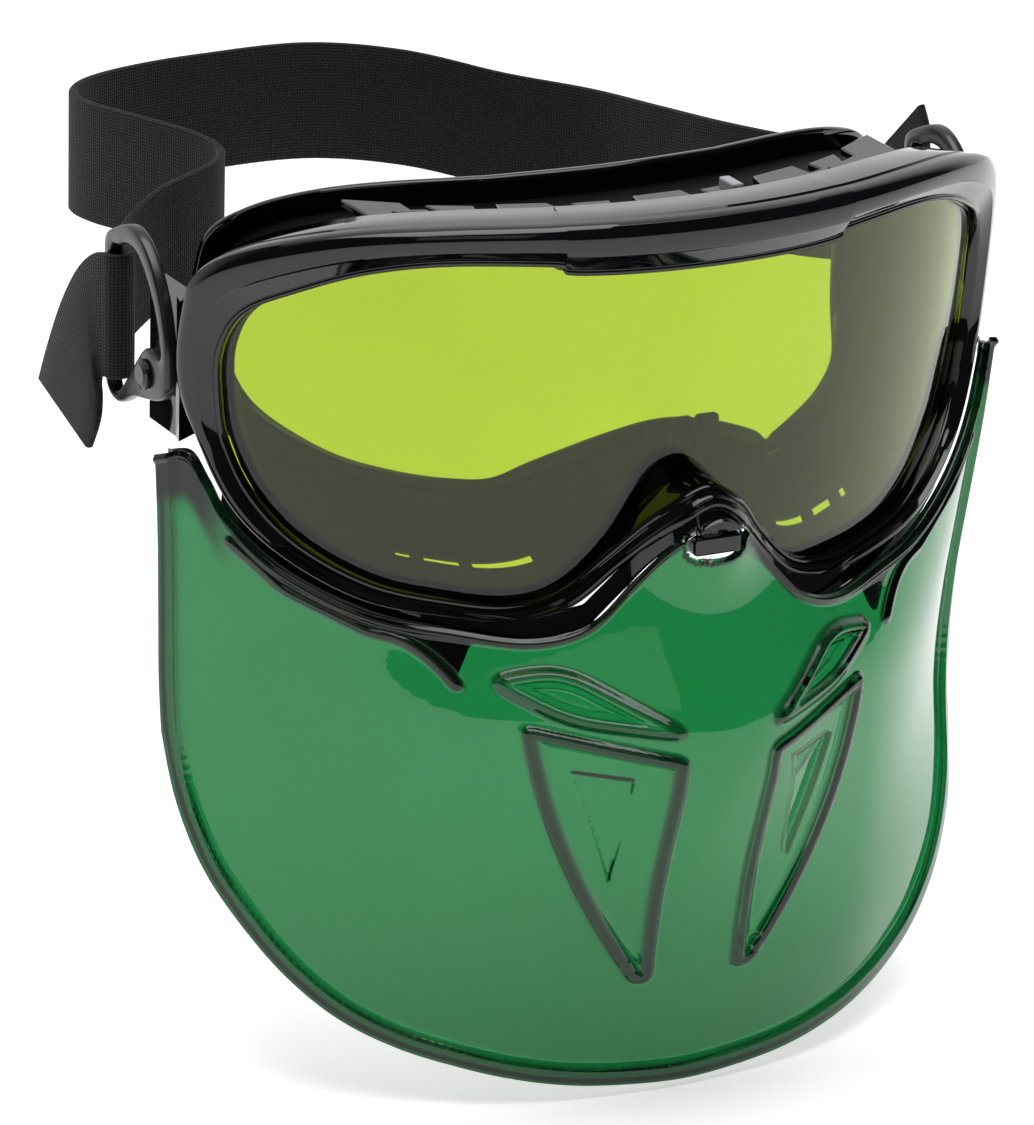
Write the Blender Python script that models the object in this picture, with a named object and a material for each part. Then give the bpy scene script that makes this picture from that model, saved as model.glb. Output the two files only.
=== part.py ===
"""Welding goggles with a clip-on chin shield and an elastic headband.

The origin is where the goggles meet the wearer's face, on the middle line. The lens looks along -Y,
+Z is up and +X is the wearer's left. Lengths are in millimetres and go to metres as a mesh is made.
"""

import math

import bmesh
import bpy
from mathutils import Vector

MM = 0.001
GAP = 0.3  # between pieces that touch

# The lens is a sheet bent to one radius about an upright axis, its foot leaning towards the face.
WRAP_RADIUS = 105.0
BROW_Z = 26.5
LENS_Y = -41.8
LENS_LEAN = 0.119
LENS_THICKNESS = 2.2
LENS_MARGIN = 1.3  # how far the lens runs on behind the frame's lip

FRAME_LIP = 1.2
FRAME_RISE = 2.6
FRAME_WALL = 1.6
FRAME_DEPTH_TOP = 12.0
FRAME_DEPTH_FOOT = 7.0
FRAME_DEPTH_SIDE = 9.0
NOSE_RISE = 8.5
NOSE_Z = -25.0

BODY_WALL = 1.8
BODY_FRONT = -FRAME_LIP - LENS_THICKNESS - 1.2 - 3 * GAP  # its front edge, from the lens's front face
FLANGE_WIDTH = 5.0
FLANGE_THICKNESS = 1.8

SHIELD_THICKNESS = 1.8
SHIELD_BULGE = 12.5
SHIELD_BULGE_Z = -62.0

STRAP_WIDTH = 25.0
STRAP_THICKNESS = 1.6

# The strap clips swing on one axis, along X through both pegs.
PIVOT_Y = 17.7
PIVOT_Z = -1.6
PEG_RADIUS = 2.2
PEG_FIT = 0.1
LUG_OUT_X = 85.6
CLIP_IN_X = 86.9
CLIP_THICKNESS = 2.7

# Half of the goggles' rim, from the middle of the brow round to the nose. Each row is one station:
# the lens opening (x, z), the frame's outer edge (x, z) and the face opening (x, y, z).
RIM_STATIONS = (
    ((0.0, 26.5), (0.0, 37.5), (0.0, 2.0, 27.0)),
    ((27.0, 26.8), (27.5, 37.3), (22.0, 3.5, 27.0)),
    ((30.5, 28.6), (31.5, 37.2), (27.0, 4.6, 27.0)),
    ((48.7, 28.8), (50.0, 36.6), (42.0, 9.5, 26.5)),
    ((62.0, 26.3), (66.0, 34.4), (54.0, 15.0, 25.5)),
    ((72.7, 21.0), (79.0, 29.4), (62.0, 20.5, 23.0)),
    ((79.3, 15.6), (85.6, 23.0), (67.0, 26.0, 18.0)),
    ((82.0, 7.0), (87.3, 13.0), (68.5, 28.5, 10.0)),
    ((81.7, -3.0), (87.2, 1.0), (68.5, 28.3, 2.0)),
    ((80.2, -12.0), (84.6, -9.5), (67.5, 26.5, -6.0)),
    ((76.1, -21.6), (79.3, -23.6), (65.0, 21.5, -13.0)),
    ((69.0, -30.0), (71.5, -32.8), (60.0, 13.0, -17.5)),
    ((58.0, -36.5), (59.5, -40.2), (52.5, 6.5, -21.5)),
    ((46.0, -39.3), (46.5, -43.2), (43.0, 0.0, -23.8)),
    ((34.0, -40.6), (33.3, -44.6), (35.0, -6.0, -24.2)),
    ((25.0, -38.0), (22.5, -41.5), (29.0, -12.5, -22.5)),
    ((17.0, -30.5), (14.2, -33.6), (23.0, -18.0, -18.0)),
    ((9.0, -21.5), (6.5, -25.0), (11.0, -22.5, -13.0)),
    ((0.0, -16.6), (0.0, -21.0), (0.0, -24.0, -11.0)),
)
SAMPLES_PER_SPAN = 2

# Half of the chin shield, from the middle line outwards. Each row is one column: its top (x, z) and
# its foot on the rim (x, y, z).
SHIELD_STATIONS = (
    ((0.0, -21.5), (0.0, -39.5, -140.0)),
    ((7.2, -25.7), (13.0, -38.8, -139.3)),
    ((14.8, -34.4), (24.0, -37.3, -138.0)),
    ((23.0, -42.3), (34.0, -34.7, -136.0)),
    ((33.4, -45.3), (43.5, -30.8, -133.4)),
    ((46.7, -43.9), (54.0, -24.4, -130.0)),
    ((60.2, -41.5), (63.6, -17.8, -124.8)),
    ((73.0, -34.7), (71.8, -11.0, -117.0)),
    ((81.6, -25.6), (78.5, -3.2, -107.0)),
    ((85.2, -18.0), (82.6, 4.4, -97.6)),
    ((87.8, -12.8), (85.2, 10.4, -86.0)),
    ((91.0, -14.0), (87.0, 13.0, -73.0)),
)
SHIELD_ROWS = 12
# How far forward the shield stands at each height, on the middle line and along its sides.
SHIELD_MIDDLE = (
    (-10.0, -38.0), (-30.0, -38.0), (-44.0, -38.6), (-60.0, -45.2), (-117.0, -43.5), (-140.0, -40.0),
)
SHIELD_SIDE = (
    (-10.0, -45.5), (-30.0, -42.0), (-47.0, -38.0), (-62.0, -34.4), (-76.0, -32.7), (-87.0, -33.0),
    (-107.0, -38.5), (-140.0, -40.0),
)
SIDE_FROM_X, SIDE_TO_X = 40.0, 88.0

# A strap clip seen from the side: the outer edge and the opening (y, z), matched point by point.
CLIP_EDGE = (
    (17.5, -6.8), (11.8, -5.2), (9.0, -2.2), (8.5, 3.0), (9.3, 8.6), (11.6, 14.6), (16.0, 20.6), (21.2, 24.4),
    (26.5, 25.4), (32.5, 23.4), (37.4, 20.0), (37.2, 12.0), (36.9, 2.0), (36.6, -8.6), (31.0, -11.4), (24.0, -8.2),
)
CLIP_OPENING = (
    (18.5, 3.2), (14.0, 2.8), (12.0, 3.0), (11.2, 4.6), (12.2, 8.0), (14.6, 13.0), (18.6, 18.0), (22.8, 21.0),
    (27.0, 21.4), (30.6, 20.2), (34.0, 19.0), (34.0, 12.0), (34.0, 2.0), (33.9, -8.2), (30.4, -8.8), (24.6, -3.0),
)
BAND_Z = 5.4  # the height of the strap's middle line where it turns round a clip's bar

# The strap's middle line and, where it isn't upright, the direction of its width.
UPRIGHT = (0.0, 0.0, 1.0)
STRAP_ROUTE = (
    ((-93.6, 46.5, -17.8), (0.0, 0.96, 0.28)),
    ((-93.2, 42.0, -8.5), (0.0, 0.82, 0.57)),
    ((-92.4, 38.8, -0.5), (0.0, 0.50, 0.87)),
    ((-91.5, 36.8, 4.0), (0.0, 0.15, 0.99)),
    ((-90.8, 34.4, BAND_Z), UPRIGHT),
    ((-90.2, 32.5, BAND_Z), UPRIGHT),
    ((-88.2, 31.6, BAND_Z), UPRIGHT),
    ((-86.2, 32.5, BAND_Z), UPRIGHT),
    ((-85.6, 34.4, BAND_Z), UPRIGHT),
    ((-84.6, 40.5, 6.2), UPRIGHT),
    ((-80.0, 47.5, 7.4), UPRIGHT),
    ((-71.5, 53.0, 10.4), UPRIGHT),
    ((-63.0, 56.6, 11.8), UPRIGHT),
    ((-55.4, 61.0, 12.4), UPRIGHT),
    ((-51.8, 67.0, 13.2), UPRIGHT),
    ((-53.6, 75.5, 14.0), UPRIGHT),
    ((-60.0, 89.0, 14.5), UPRIGHT),
    ((-64.6, 100.0, 14.5), UPRIGHT),
    ((-65.0, 109.0, 14.5), UPRIGHT),
    ((-59.0, 116.5, 14.5), UPRIGHT),
    ((-47.0, 121.5, 14.5), UPRIGHT),
    ((-30.0, 124.2, 14.5), UPRIGHT),
    ((-6.0, 124.2, 14.4), UPRIGHT),
    ((15.0, 120.2, 11.6), UPRIGHT),
    ((34.0, 112.2, 6.8), UPRIGHT),
    ((48.5, 101.0, 4.8), UPRIGHT),
    ((56.8, 85.0, 4.4), UPRIGHT),
    ((63.5, 69.5, 4.5), UPRIGHT),
    ((72.0, 55.5, 4.5), UPRIGHT),
    ((80.5, 45.5, 4.8), UPRIGHT),
    ((84.8, 38.5, 5.2), UPRIGHT),
    ((85.6, 34.4, BAND_Z), UPRIGHT),
    ((86.2, 32.5, BAND_Z), UPRIGHT),
    ((88.2, 31.6, BAND_Z), UPRIGHT),
    ((90.2, 32.5, BAND_Z), UPRIGHT),
    ((90.8, 34.4, BAND_Z), UPRIGHT),
    ((91.4, 38.6, 7.0), (0.0, -0.22, 0.97)),
    ((91.9, 43.6, 11.4), (0.0, -0.56, 0.83)),
    ((92.0, 48.6, 17.4), (0.0, -0.74, 0.67)),
)
STRAP_SAMPLES_PER_SPAN = 2


def clear_scene():
    for thing in list(bpy.data.objects):
        bpy.data.objects.remove(thing, do_unlink=True)


def material(name, colour, roughness, transmission=0.0):
    """A Principled material of one colour; every piece here is a plastic, a rubber or a textile."""
    made = bpy.data.materials.new(name)
    made.use_nodes = True
    made.diffuse_color = (*colour, 1.0)
    shader = made.node_tree.nodes["Principled BSDF"]
    shader.inputs["Base Color"].default_value = (*colour, 1.0)
    shader.inputs["Roughness"].default_value = roughness
    shader.inputs["Metallic"].default_value = 0.0
    shader.inputs["Transmission Weight"].default_value = transmission
    return made


def mesh_object(name, points, faces, look, origin=(0.0, 0.0, 0.0), smooth_deg=35.0):
    """An object from points in millimetres, facing out, with its own origin at the given point."""
    origin = Vector(origin)
    mesh = bpy.data.meshes.new(name)
    mesh.from_pydata([(Vector(point) - origin) * MM for point in points], [], faces)
    work = bmesh.new()
    work.from_mesh(mesh)
    bmesh.ops.recalc_face_normals(work, faces=work.faces)
    if work.calc_volume(signed=True) < 0:
        bmesh.ops.reverse_faces(work, faces=work.faces)
    work.to_mesh(mesh)
    work.free()
    mesh.shade_smooth()
    mesh.set_sharp_from_angle(angle=math.radians(smooth_deg))
    mesh.materials.append(look)
    made = bpy.data.objects.new(name, mesh)
    made.location = origin * MM
    bpy.context.scene.collection.objects.link(made)
    return made


def ring_solid(name, sections, look, closed, **options):
    """Joins closed sections, one after another; an open run of sections is capped like a ladder."""
    count = len(sections[0])
    points = [point for section in sections for point in section]
    faces = []
    spans = len(sections) if closed else len(sections) - 1
    for i in range(spans):
        here, there = i * count, (i + 1) % len(sections) * count
        for j in range(count):
            k = (j + 1) % count
            faces.append((here + j, here + k, there + k, there + j))
    if not closed:
        for start in (0, (len(sections) - 1) * count):
            for j in range(count // 2 - 1):
                far = count - 1 - j
                faces.append((start + j, start + j + 1, start + far - 1, start + far))
    return mesh_object(name, points, faces, look, **options)


def prism(name, outline, low_z, high_z, look):
    """A flat plate with the given plan (x, y), between two heights."""
    count = len(outline)
    points = [(x, y, low_z) for x, y in outline] + [(x, y, high_z) for x, y in outline]
    faces = [tuple(range(count)), tuple(range(count, 2 * count))]
    for j in range(count):
        k = (j + 1) % count
        faces.append((j, k, count + k, count + j))
    return mesh_object(name, points, faces, look)


def smooth_curve(rows, per_span, closed=False):
    """Rows of numbers on a Catmull-Rom curve through the given rows."""
    count = len(rows)
    made = []
    for i in range(count if closed else count - 1):
        if closed:
            a, b, c, d = (rows[(i + k) % count] for k in (-1, 0, 1, 2))
        else:
            a, b, c, d = (rows[min(max(i + k, 0), count - 1)] for k in (-1, 0, 1, 2))
        for step in range(per_span):
            t = step / per_span
            row = []
            for p, q, r, s in zip(a, b, c, d):
                bend = (2 * p - 5 * q + 4 * r - s) * t * t + (3 * q - p - 3 * r + s) * t**3
                row.append(q + 0.5 * ((r - p) * t + bend))
            made.append(tuple(row))
    if not closed:
        made.append(tuple(rows[-1]))
    return made


def between(knots, at):
    """The value at a place on a broken line of (place, value), whose places fall."""
    for (high, high_value), (low, low_value) in zip(knots, knots[1:]):
        if at >= low:
            share = min(1.0, max(0.0, (high - at) / (high - low)))
            return high_value + (low_value - high_value) * share
    return knots[-1][1]


def unrolled(x):
    """How far along the wrap a point at x lies."""
    return WRAP_RADIUS * math.asin(x / WRAP_RADIUS)


def on_lens(along, z, lift=0.0):
    """The point at a place along the wrap, lifted off the lens's front face."""
    angle = along / WRAP_RADIUS
    reach = WRAP_RADIUS + lift
    middle_y = LENS_Y - LENS_LEAN * (z - BROW_Z)
    return Vector((math.sin(angle) * reach, middle_y + WRAP_RADIUS - math.cos(angle) * reach, z))


def nose_rise(along, z):
    """How far the nose bridge stands out in front of the lens."""
    return NOSE_RISE * math.exp(-((along / 11.0) ** 2) - ((z - NOSE_Z) / 12.0) ** 2)


class Station:
    """One place on the rim, between the lens opening and the frame's outer edge."""

    def __init__(self, row):
        self.inner = Vector((unrolled(row[0]), row[1]))
        outer = Vector((unrolled(row[2]), row[3]))
        self.width = (outer - self.inner).length
        self.out = (outer - self.inner).normalized()
        self.face = Vector(row[4:7])

    def at(self, outward, lift):
        place = self.inner + self.out * outward
        return on_lens(place.x, place.y, lift)

    def front(self, outward, lift):
        """As at, with the nose bridge's rise."""
        place = self.inner + self.out * outward
        point = on_lens(place.x, place.y, lift)
        point.y -= nose_rise(place.x, place.y)
        return point

    def face_point(self, outward, back=0.0):
        """A point beside the face opening, outward in the plane of X and Z."""
        away = Vector((self.out.x, 0.0, self.out.y))
        return self.face + away * outward + Vector((0.0, back, 0.0))


def rim_stations():
    half = [(*opening, *edge, *face) for opening, edge, face in RIM_STATIONS]
    mirror = [(-r[0], r[1], -r[2], r[3], -r[4], r[5], r[6]) for r in half[-2:0:-1]]
    return [Station(row) for row in smooth_curve(half + mirror, SAMPLES_PER_SPAN, closed=True)]


def frame_depth(station):
    """The frame's wall runs back deep over the brow, less at the temples and least under the eyes."""
    high = min(1.0, max(0.0, (station.inner.y + 20.0) / 20.0))
    round_side = min(1.0, abs(station.inner.x) / unrolled(82.0)) ** 3
    top = FRAME_DEPTH_TOP + (FRAME_DEPTH_SIDE - FRAME_DEPTH_TOP) * round_side
    return FRAME_DEPTH_FOOT + (top - FRAME_DEPTH_FOOT) * high


def front_frame(stations, look):
    sections = []
    for station in stations:
        width, depth = station.width, frame_depth(station)
        sections.append([
            station.front(0.0, 0.3),
            station.front(1.0, 0.7 * FRAME_RISE),
            station.front(0.55 * width, FRAME_RISE),
            station.front(width - 0.9, 0.75 * FRAME_RISE),
            station.front(width, 0.25 * FRAME_RISE),
            station.at(width, -depth),
            station.at(width - FRAME_WALL, -depth),
            station.at(width - FRAME_WALL, -FRAME_LIP),
            station.at(0.0, -FRAME_LIP),
        ])
    return ring_solid("front_frame", sections, look, closed=True)


def lens_heights(stations, along):
    """The foot and the top of the lens opening at a place along the wrap."""
    heights = []
    for a, b in zip(stations, stations[1:] + stations[:1]):
        low, high = sorted((a.inner.x, b.inner.x))
        if low <= along <= high and high > low:
            share = (along - a.inner.x) / (b.inner.x - a.inner.x)
            heights.append(a.inner.y + (b.inner.y - a.inner.y) * share)
    return min(heights), max(heights)


def lens(stations, look):
    """The bent sheet, a little larger than its opening all round."""
    columns, rows = 40, 4
    half_width = max(station.inner.x for station in stations)
    front_lift = -FRAME_LIP - GAP
    sections = []
    for i in range(columns + 1):
        along = half_width * math.sin(math.pi * (i / columns - 0.5))
        foot, top = lens_heights(stations, along * 0.998)
        ends = (foot - LENS_MARGIN, top + LENS_MARGIN)
        place = along * (1 + LENS_MARGIN / half_width)
        heights = [ends[0] + (ends[1] - ends[0]) * j / rows for j in range(rows + 1)]
        front = [on_lens(place, z, front_lift) for z in heights]
        back = [on_lens(place, z, front_lift - LENS_THICKNESS) for z in reversed(heights)]
        sections.append(front + back)
    return ring_solid("lens", sections, look, closed=False)


def lens_gasket(stations, look):
    front = -FRAME_LIP - GAP - LENS_THICKNESS - GAP
    sections = []
    for station in stations:
        corners = ((0.0, front), (1.2, front), (1.2, front - 1.2), (0.0, front - 1.2))
        sections.append([station.at(outward, lift) for outward, lift in corners])
    return ring_solid("lens_gasket", sections, look, closed=True)


def goggle_body(stations, look):
    """The soft eyecup, from behind the gasket back to the face opening."""
    front = BODY_FRONT
    sections = []
    for station in stations:
        sections.append([
            station.at(1.3, front),
            station.face_point(BODY_WALL),
            station.face_point(0.0),
            station.at(1.3 - BODY_WALL, front),
        ])
    return ring_solid("goggle_body", sections, look, closed=True)


def face_flange(stations, look):
    """The flared lip that lies against the forehead, cheeks and nose."""
    sections = []
    for station in stations:
        width = BODY_WALL + FLANGE_WIDTH
        sections.append([
            station.face_point(-0.6, GAP),
            station.face_point(BODY_WALL, GAP),
            station.face_point(width, GAP),
            station.face_point(width, GAP + FLANGE_THICKNESS),
            station.face_point(BODY_WALL, GAP + FLANGE_THICKNESS),
            station.face_point(-0.6, GAP + FLANGE_THICKNESS),
        ])
    return ring_solid("face_flange", sections, look, closed=True)


def behind_lens(x, z, depth):
    """How far back, along Y, a surface lies that runs at one depth behind the lens's front face."""
    middle_y = LENS_Y - LENS_LEAN * (z - BROW_Z)
    return middle_y + WRAP_RADIUS - math.sqrt((WRAP_RADIUS - depth) ** 2 - x**2)


def top_vent_cover(look):
    """The plate over the brow vents, its rear edge cut into teeth."""
    low_z, high_z = 32.6, 34.0
    half_width, teeth = 57.0, 13
    front = []
    for i in range(21):
        x = half_width * (i / 10 - 1)
        front.append((x, behind_lens(x, high_z, FRAME_DEPTH_TOP + 1.0)))
    rear = []
    for i in range(teeth):
        depth = 13.0 if i % 2 == 0 else 9.0
        for edge in (i, i + 1):
            x = half_width * (1 - 2 * edge / teeth)
            rear.append((x, behind_lens(x, high_z, FRAME_DEPTH_TOP) + depth))
    return prism("top_vent_cover", front + rear, low_z, high_z, look)


def lower_vent_cover(name, side, stations, look):
    """A short louvre that lies close under the eyecup and hides its lower slots from sparks."""
    near, far = 28.0, 60.0
    start, end = 0.22, 0.72
    low, high = 0.5, 1.8
    sections = []
    for station in stations:
        if station.inner.y < -30.0 and near < side * station.inner.x < far:
            front = station.at(1.3, BODY_FRONT)
            run = station.face_point(BODY_WALL) - front
            away = Vector((station.out.x, 0.0, station.out.y))
            corners = ((start, low), (end, low), (end, high), (start, high))
            sections.append([front + run * share + away * lift for share, lift in corners])
    return ring_solid(name, sections, look, closed=False)


def nose_flaps(look):
    """A soft comb of three flaps over the bridge of the nose."""
    foot_z, root_z, tip_z = -15.2, -12.6, -6.4
    half_width, slit, slit_x = 7.5, 0.5, 2.4
    outline = [(-half_width, foot_z), (half_width, foot_z), (half_width, tip_z)]
    for x in (slit_x, -slit_x):
        outline += [(x + slit, tip_z), (x + slit, root_z), (x - slit, root_z), (x - slit, tip_z)]
    outline.append((-half_width, tip_z))
    front_y, back_y = -31.6, -30.2
    count = len(outline)
    points = [(x, front_y, z) for x, z in outline] + [(x, back_y, z) for x, z in outline]
    faces = [tuple(range(count)), tuple(range(count, 2 * count))]
    faces += [(j, (j + 1) % count, count + (j + 1) % count, count + j) for j in range(count)]
    return mesh_object("nose_flaps", points, faces, look)


def block(name, centre, size, look, bevel=0.4):
    """A small moulded block with rounded edges."""
    half = [extent / 2 for extent in size]
    points = []
    for z in (-1, 1):
        for x, y in ((-1, -1), (1, -1), (1, 1), (-1, 1)):
            points.append((centre[0] + x * half[0], centre[1] + y * half[1], centre[2] + z * half[2]))
    faces = [(0, 1, 2, 3), (4, 5, 6, 7)] + [(j, (j + 1) % 4, (j + 1) % 4 + 4, j + 4) for j in range(4)]
    made = mesh_object(name, points, faces, look)
    rounded = made.modifiers.new("Bevel", "BEVEL")
    rounded.width = bevel * MM
    rounded.segments = 2
    return made


def side_lug(name, side, look):
    """The flat cheek behind the frame's temple that carries the clip's peg."""
    plan = ((86.4, 9.2), (81.6, 12.4), (81.8, 26.0), (83.6, 26.6), (LUG_OUT_X, 24.6), (LUG_OUT_X, 12.4))
    return prism(name, [(side * x, y) for x, y in plan], -13.0, 15.0, look)


def pivot_peg(name, side, look):
    """A headed peg on a side lug: a collar, a shank for the clip and a snap head."""
    clip_out = CLIP_IN_X + CLIP_THICKNESS
    peg_in = LUG_OUT_X + GAP
    profile = (
        (peg_in, 3.6), (CLIP_IN_X - GAP, 3.6), (CLIP_IN_X - GAP, PEG_RADIUS),
        (clip_out + GAP, PEG_RADIUS), (clip_out + GAP, 3.0), (clip_out + 0.9, 3.0), (clip_out + 1.4, 2.0),
    )
    facets = 20
    points = [(side * peg_in, PIVOT_Y, PIVOT_Z)]
    for x, radius in profile:
        for i in range(facets):
            angle = 2 * math.pi * i / facets
            points.append((side * x, PIVOT_Y + radius * math.cos(angle), PIVOT_Z + radius * math.sin(angle)))
    points.append((side * profile[-1][0], PIVOT_Y, PIVOT_Z))
    last = len(points) - 1
    faces = []
    for i in range(facets):
        k = (i + 1) % facets
        faces.append((0, 1 + i, 1 + k))
        for level in range(len(profile) - 1):
            low, high = 1 + level * facets, 1 + (level + 1) * facets
            faces.append((low + i, high + i, high + k, low + k))
        top = 1 + (len(profile) - 1) * facets
        faces.append((last, top + k, top + i))
    return mesh_object(name, points, faces, look)


def cylinder_x(name, low_x, high_x, centre_y, centre_z, radius, look, facets=24):
    """An upright disc on an axis along X."""
    points, faces = [], []
    for x in (low_x, high_x):
        for i in range(facets):
            angle = 2 * math.pi * i / facets
            points.append((x, centre_y + radius * math.cos(angle), centre_z + radius * math.sin(angle)))
    faces += [tuple(range(facets)), tuple(range(facets, 2 * facets))]
    faces += [(i, (i + 1) % facets, (i + 1) % facets + facets, i + facets) for i in range(facets)]
    origin = (0.0, PIVOT_Y, PIVOT_Z)
    return mesh_object(name, points, faces, look, origin=origin)


def helper(thing):
    thing.hide_render = True
    thing.display_type = "WIRE"
    return thing


def boolean(thing, other, operation):
    step = thing.modifiers.new(operation.title(), "BOOLEAN")
    step.object = other
    step.operation = operation


def strap_clip(name, side, look):
    """A hooked loop: the strap turns round its rear bar, and its boss swings on the peg."""
    low_x, high_x = CLIP_IN_X, CLIP_IN_X + CLIP_THICKNESS
    sections = []
    for (edge_y, edge_z), (open_y, open_z) in zip(CLIP_EDGE, CLIP_OPENING):
        sections.append([
            (side * low_x, edge_y, edge_z), (side * high_x, edge_y, edge_z),
            (side * high_x, open_y, open_z), (side * low_x, open_y, open_z),
        ])
    made = ring_solid(name, sections, look, closed=True, origin=(0.0, PIVOT_Y, PIVOT_Z))
    hole = cylinder_x(name + "_hole", side * (low_x - 2), side * (high_x + 2), PIVOT_Y, PIVOT_Z,
                      PEG_RADIUS + PEG_FIT, look)
    boolean(made, helper(hole), "DIFFERENCE")
    return made


def strap(look):
    """One elastic band, from its left tail round the head to its right tail."""
    rows = smooth_curve([(*place, *width) for place, width in STRAP_ROUTE], STRAP_SAMPLES_PER_SPAN)
    places = [Vector(row[:3]) for row in rows]
    sections = []
    for i, (place, row) in enumerate(zip(places, rows)):
        along = places[min(i + 1, len(places) - 1)] - places[max(i - 1, 0)]
        across = Vector(row[3:]).normalized()
        flat = along.cross(across).normalized()
        w, t = across * (STRAP_WIDTH / 2), flat * (STRAP_THICKNESS / 2)
        sections.append([place + w + t, place - w + t, place - w - t, place + w - t])
    return ring_solid("strap", sections, look, closed=False, origin=(0.0, PIVOT_Y, PIVOT_Z))


def wrap_depth(x):
    return WRAP_RADIUS - math.sqrt(WRAP_RADIUS**2 - x**2)


def shield_front(x, z):
    """The shield's front face: the wrap, the nose bridge and the bulge before the mouth."""
    share = min(1.0, max(0.0, (abs(x) - SIDE_FROM_X) / (SIDE_TO_X - SIDE_FROM_X)))
    share *= share * (3 - 2 * share)
    middle = between(SHIELD_MIDDLE, z)
    y = middle + (between(SHIELD_SIDE, z) - middle) * share + wrap_depth(x) - nose_rise(x, z)
    bulge = SHIELD_BULGE * math.exp(-((x / 26.0) ** 2) - ((z - SHIELD_BULGE_Z) / 30.0) ** 2)
    return Vector((x, y - bulge, z))


def face_shield(look):
    half = [(*top, *foot) for top, foot in SHIELD_STATIONS]
    mirror = [(-r[0], r[1], -r[2], r[3], r[4]) for r in half[:0:-1]]
    sections = []
    for top_x, top_z, foot_x, foot_y, foot_z in smooth_curve(mirror + half, SAMPLES_PER_SPAN):
        front, back = [], []
        miss = foot_y - shield_front(foot_x, foot_z).y
        for j in range(SHIELD_ROWS + 1):
            t = j / SHIELD_ROWS
            x = top_x + (foot_x - top_x) * t
            point = shield_front(x, top_z + (foot_z - top_z) * t)
            point.y += miss * t**2
            angle = math.asin(x / WRAP_RADIUS)
            inward = Vector((-math.sin(angle), math.cos(angle), 0.0)) * SHIELD_THICKNESS
            front.append(point)
            back.append(point + inward)
        sections.append(front + back[::-1])
    made = ring_solid("face_shield", sections, look, closed=False)
    window = block("nose_window", (0.0, -45.0, -27.2), (13.0, 24.0, 6.0), look, bevel=2.6)
    boolean(made, helper(window), "DIFFERENCE")
    return made


def build():
    clear_scene()
    gloss_black = material("gloss_black", (0.012, 0.011, 0.013), 0.12)
    soft_black = material("soft_black", (0.016, 0.016, 0.017), 0.38)
    clip_black = material("clip_black", (0.018, 0.018, 0.020), 0.30)
    lens_green = material("lens_green", (0.42, 0.62, 0.10), 0.04, transmission=0.9)
    shield_green = material("shield_green", (0.04, 0.34, 0.11), 0.05, transmission=0.9)
    webbing = material("webbing", (0.016, 0.015, 0.017), 0.9)
    pale = material("pale_clip", (0.35, 0.34, 0.36), 0.3)

    stations = rim_stations()
    front_frame(stations, gloss_black)
    lens(stations, lens_green)
    lens_gasket(stations, soft_black)
    goggle_body(stations, soft_black)
    face_flange(stations, soft_black)
    top_vent_cover(gloss_black)
    nose_flaps(soft_black)
    block("shield_latch", (0.0, -45.2, -27.2), (9.6, 5.0, 3.6), gloss_black)
    block("brow_catch", (13.0, -24.0, 35.6), (2.4, 6.0, 2.4), pale)
    for side, name in ((-1, "right"), (1, "left")):
        lower_vent_cover("lower_vent_cover_" + name, side, stations, soft_black)
        side_lug("side_lug_" + name, side, gloss_black)
        pivot_peg("pivot_peg_" + name, side, gloss_black)
        strap_clip("strap_clip_" + name, side, clip_black)
    strap(webbing)
    face_shield(shield_green)


build()
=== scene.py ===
"""The looks of the welding goggles: every visible piece, its material, the studio and the camera.

Lengths in the tables are in millimetres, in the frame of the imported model: the origin is where the
goggles meet the face, the lens looks along -Y, +Z is up and -X is the wearer's right.
"""
import math

import bmesh
import bpy
import numpy as np
from mathutils import Matrix, Vector


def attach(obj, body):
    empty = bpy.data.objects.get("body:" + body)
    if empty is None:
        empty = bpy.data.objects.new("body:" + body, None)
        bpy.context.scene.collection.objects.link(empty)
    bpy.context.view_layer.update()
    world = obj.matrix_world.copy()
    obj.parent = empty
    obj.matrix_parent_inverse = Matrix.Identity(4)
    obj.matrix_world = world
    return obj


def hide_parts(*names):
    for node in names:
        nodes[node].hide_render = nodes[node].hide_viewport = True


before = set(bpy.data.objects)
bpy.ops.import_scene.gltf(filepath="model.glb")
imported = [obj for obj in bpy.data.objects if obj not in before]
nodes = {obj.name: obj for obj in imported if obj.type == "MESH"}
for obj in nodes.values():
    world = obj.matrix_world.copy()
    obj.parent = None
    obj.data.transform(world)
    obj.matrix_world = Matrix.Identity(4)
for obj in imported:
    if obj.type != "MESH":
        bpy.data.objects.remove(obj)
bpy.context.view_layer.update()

MM = 0.001

# One of the camera places that match the photograph. The elevation and the long lens are assumed.
VIEW_AZIMUTH, VIEW_ELEVATION, VIEW_ROLL = -27.44, 20.0, 1.5
VIEW_DISTANCE = 1.313
VIEW_TARGET = Vector((-0.0390, -0.0401, -0.0276))
LENS_MM = 224.0

# The lens is a sheet bent to one radius about an upright axis, its foot leaning towards the face.
WRAP_RADIUS = 105.0
BROW_Z = 26.5
LENS_Y = -41.8
LENS_LEAN = 0.119
LENS_THICKNESS = 2.2
LENS_MARGIN = 1.3
FRAME_LIP = 1.2
FRAME_RISE = 2.6
FRAME_WALL = 1.6
DEPTH_TOP, DEPTH_SIDE, DEPTH_FOOT = 12.0, 9.0, 7.0
NOSE_RISE, NOSE_Z = 8.5, -25.0
BODY_WALL = 1.8
BODY_FRONT = -5.5

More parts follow.
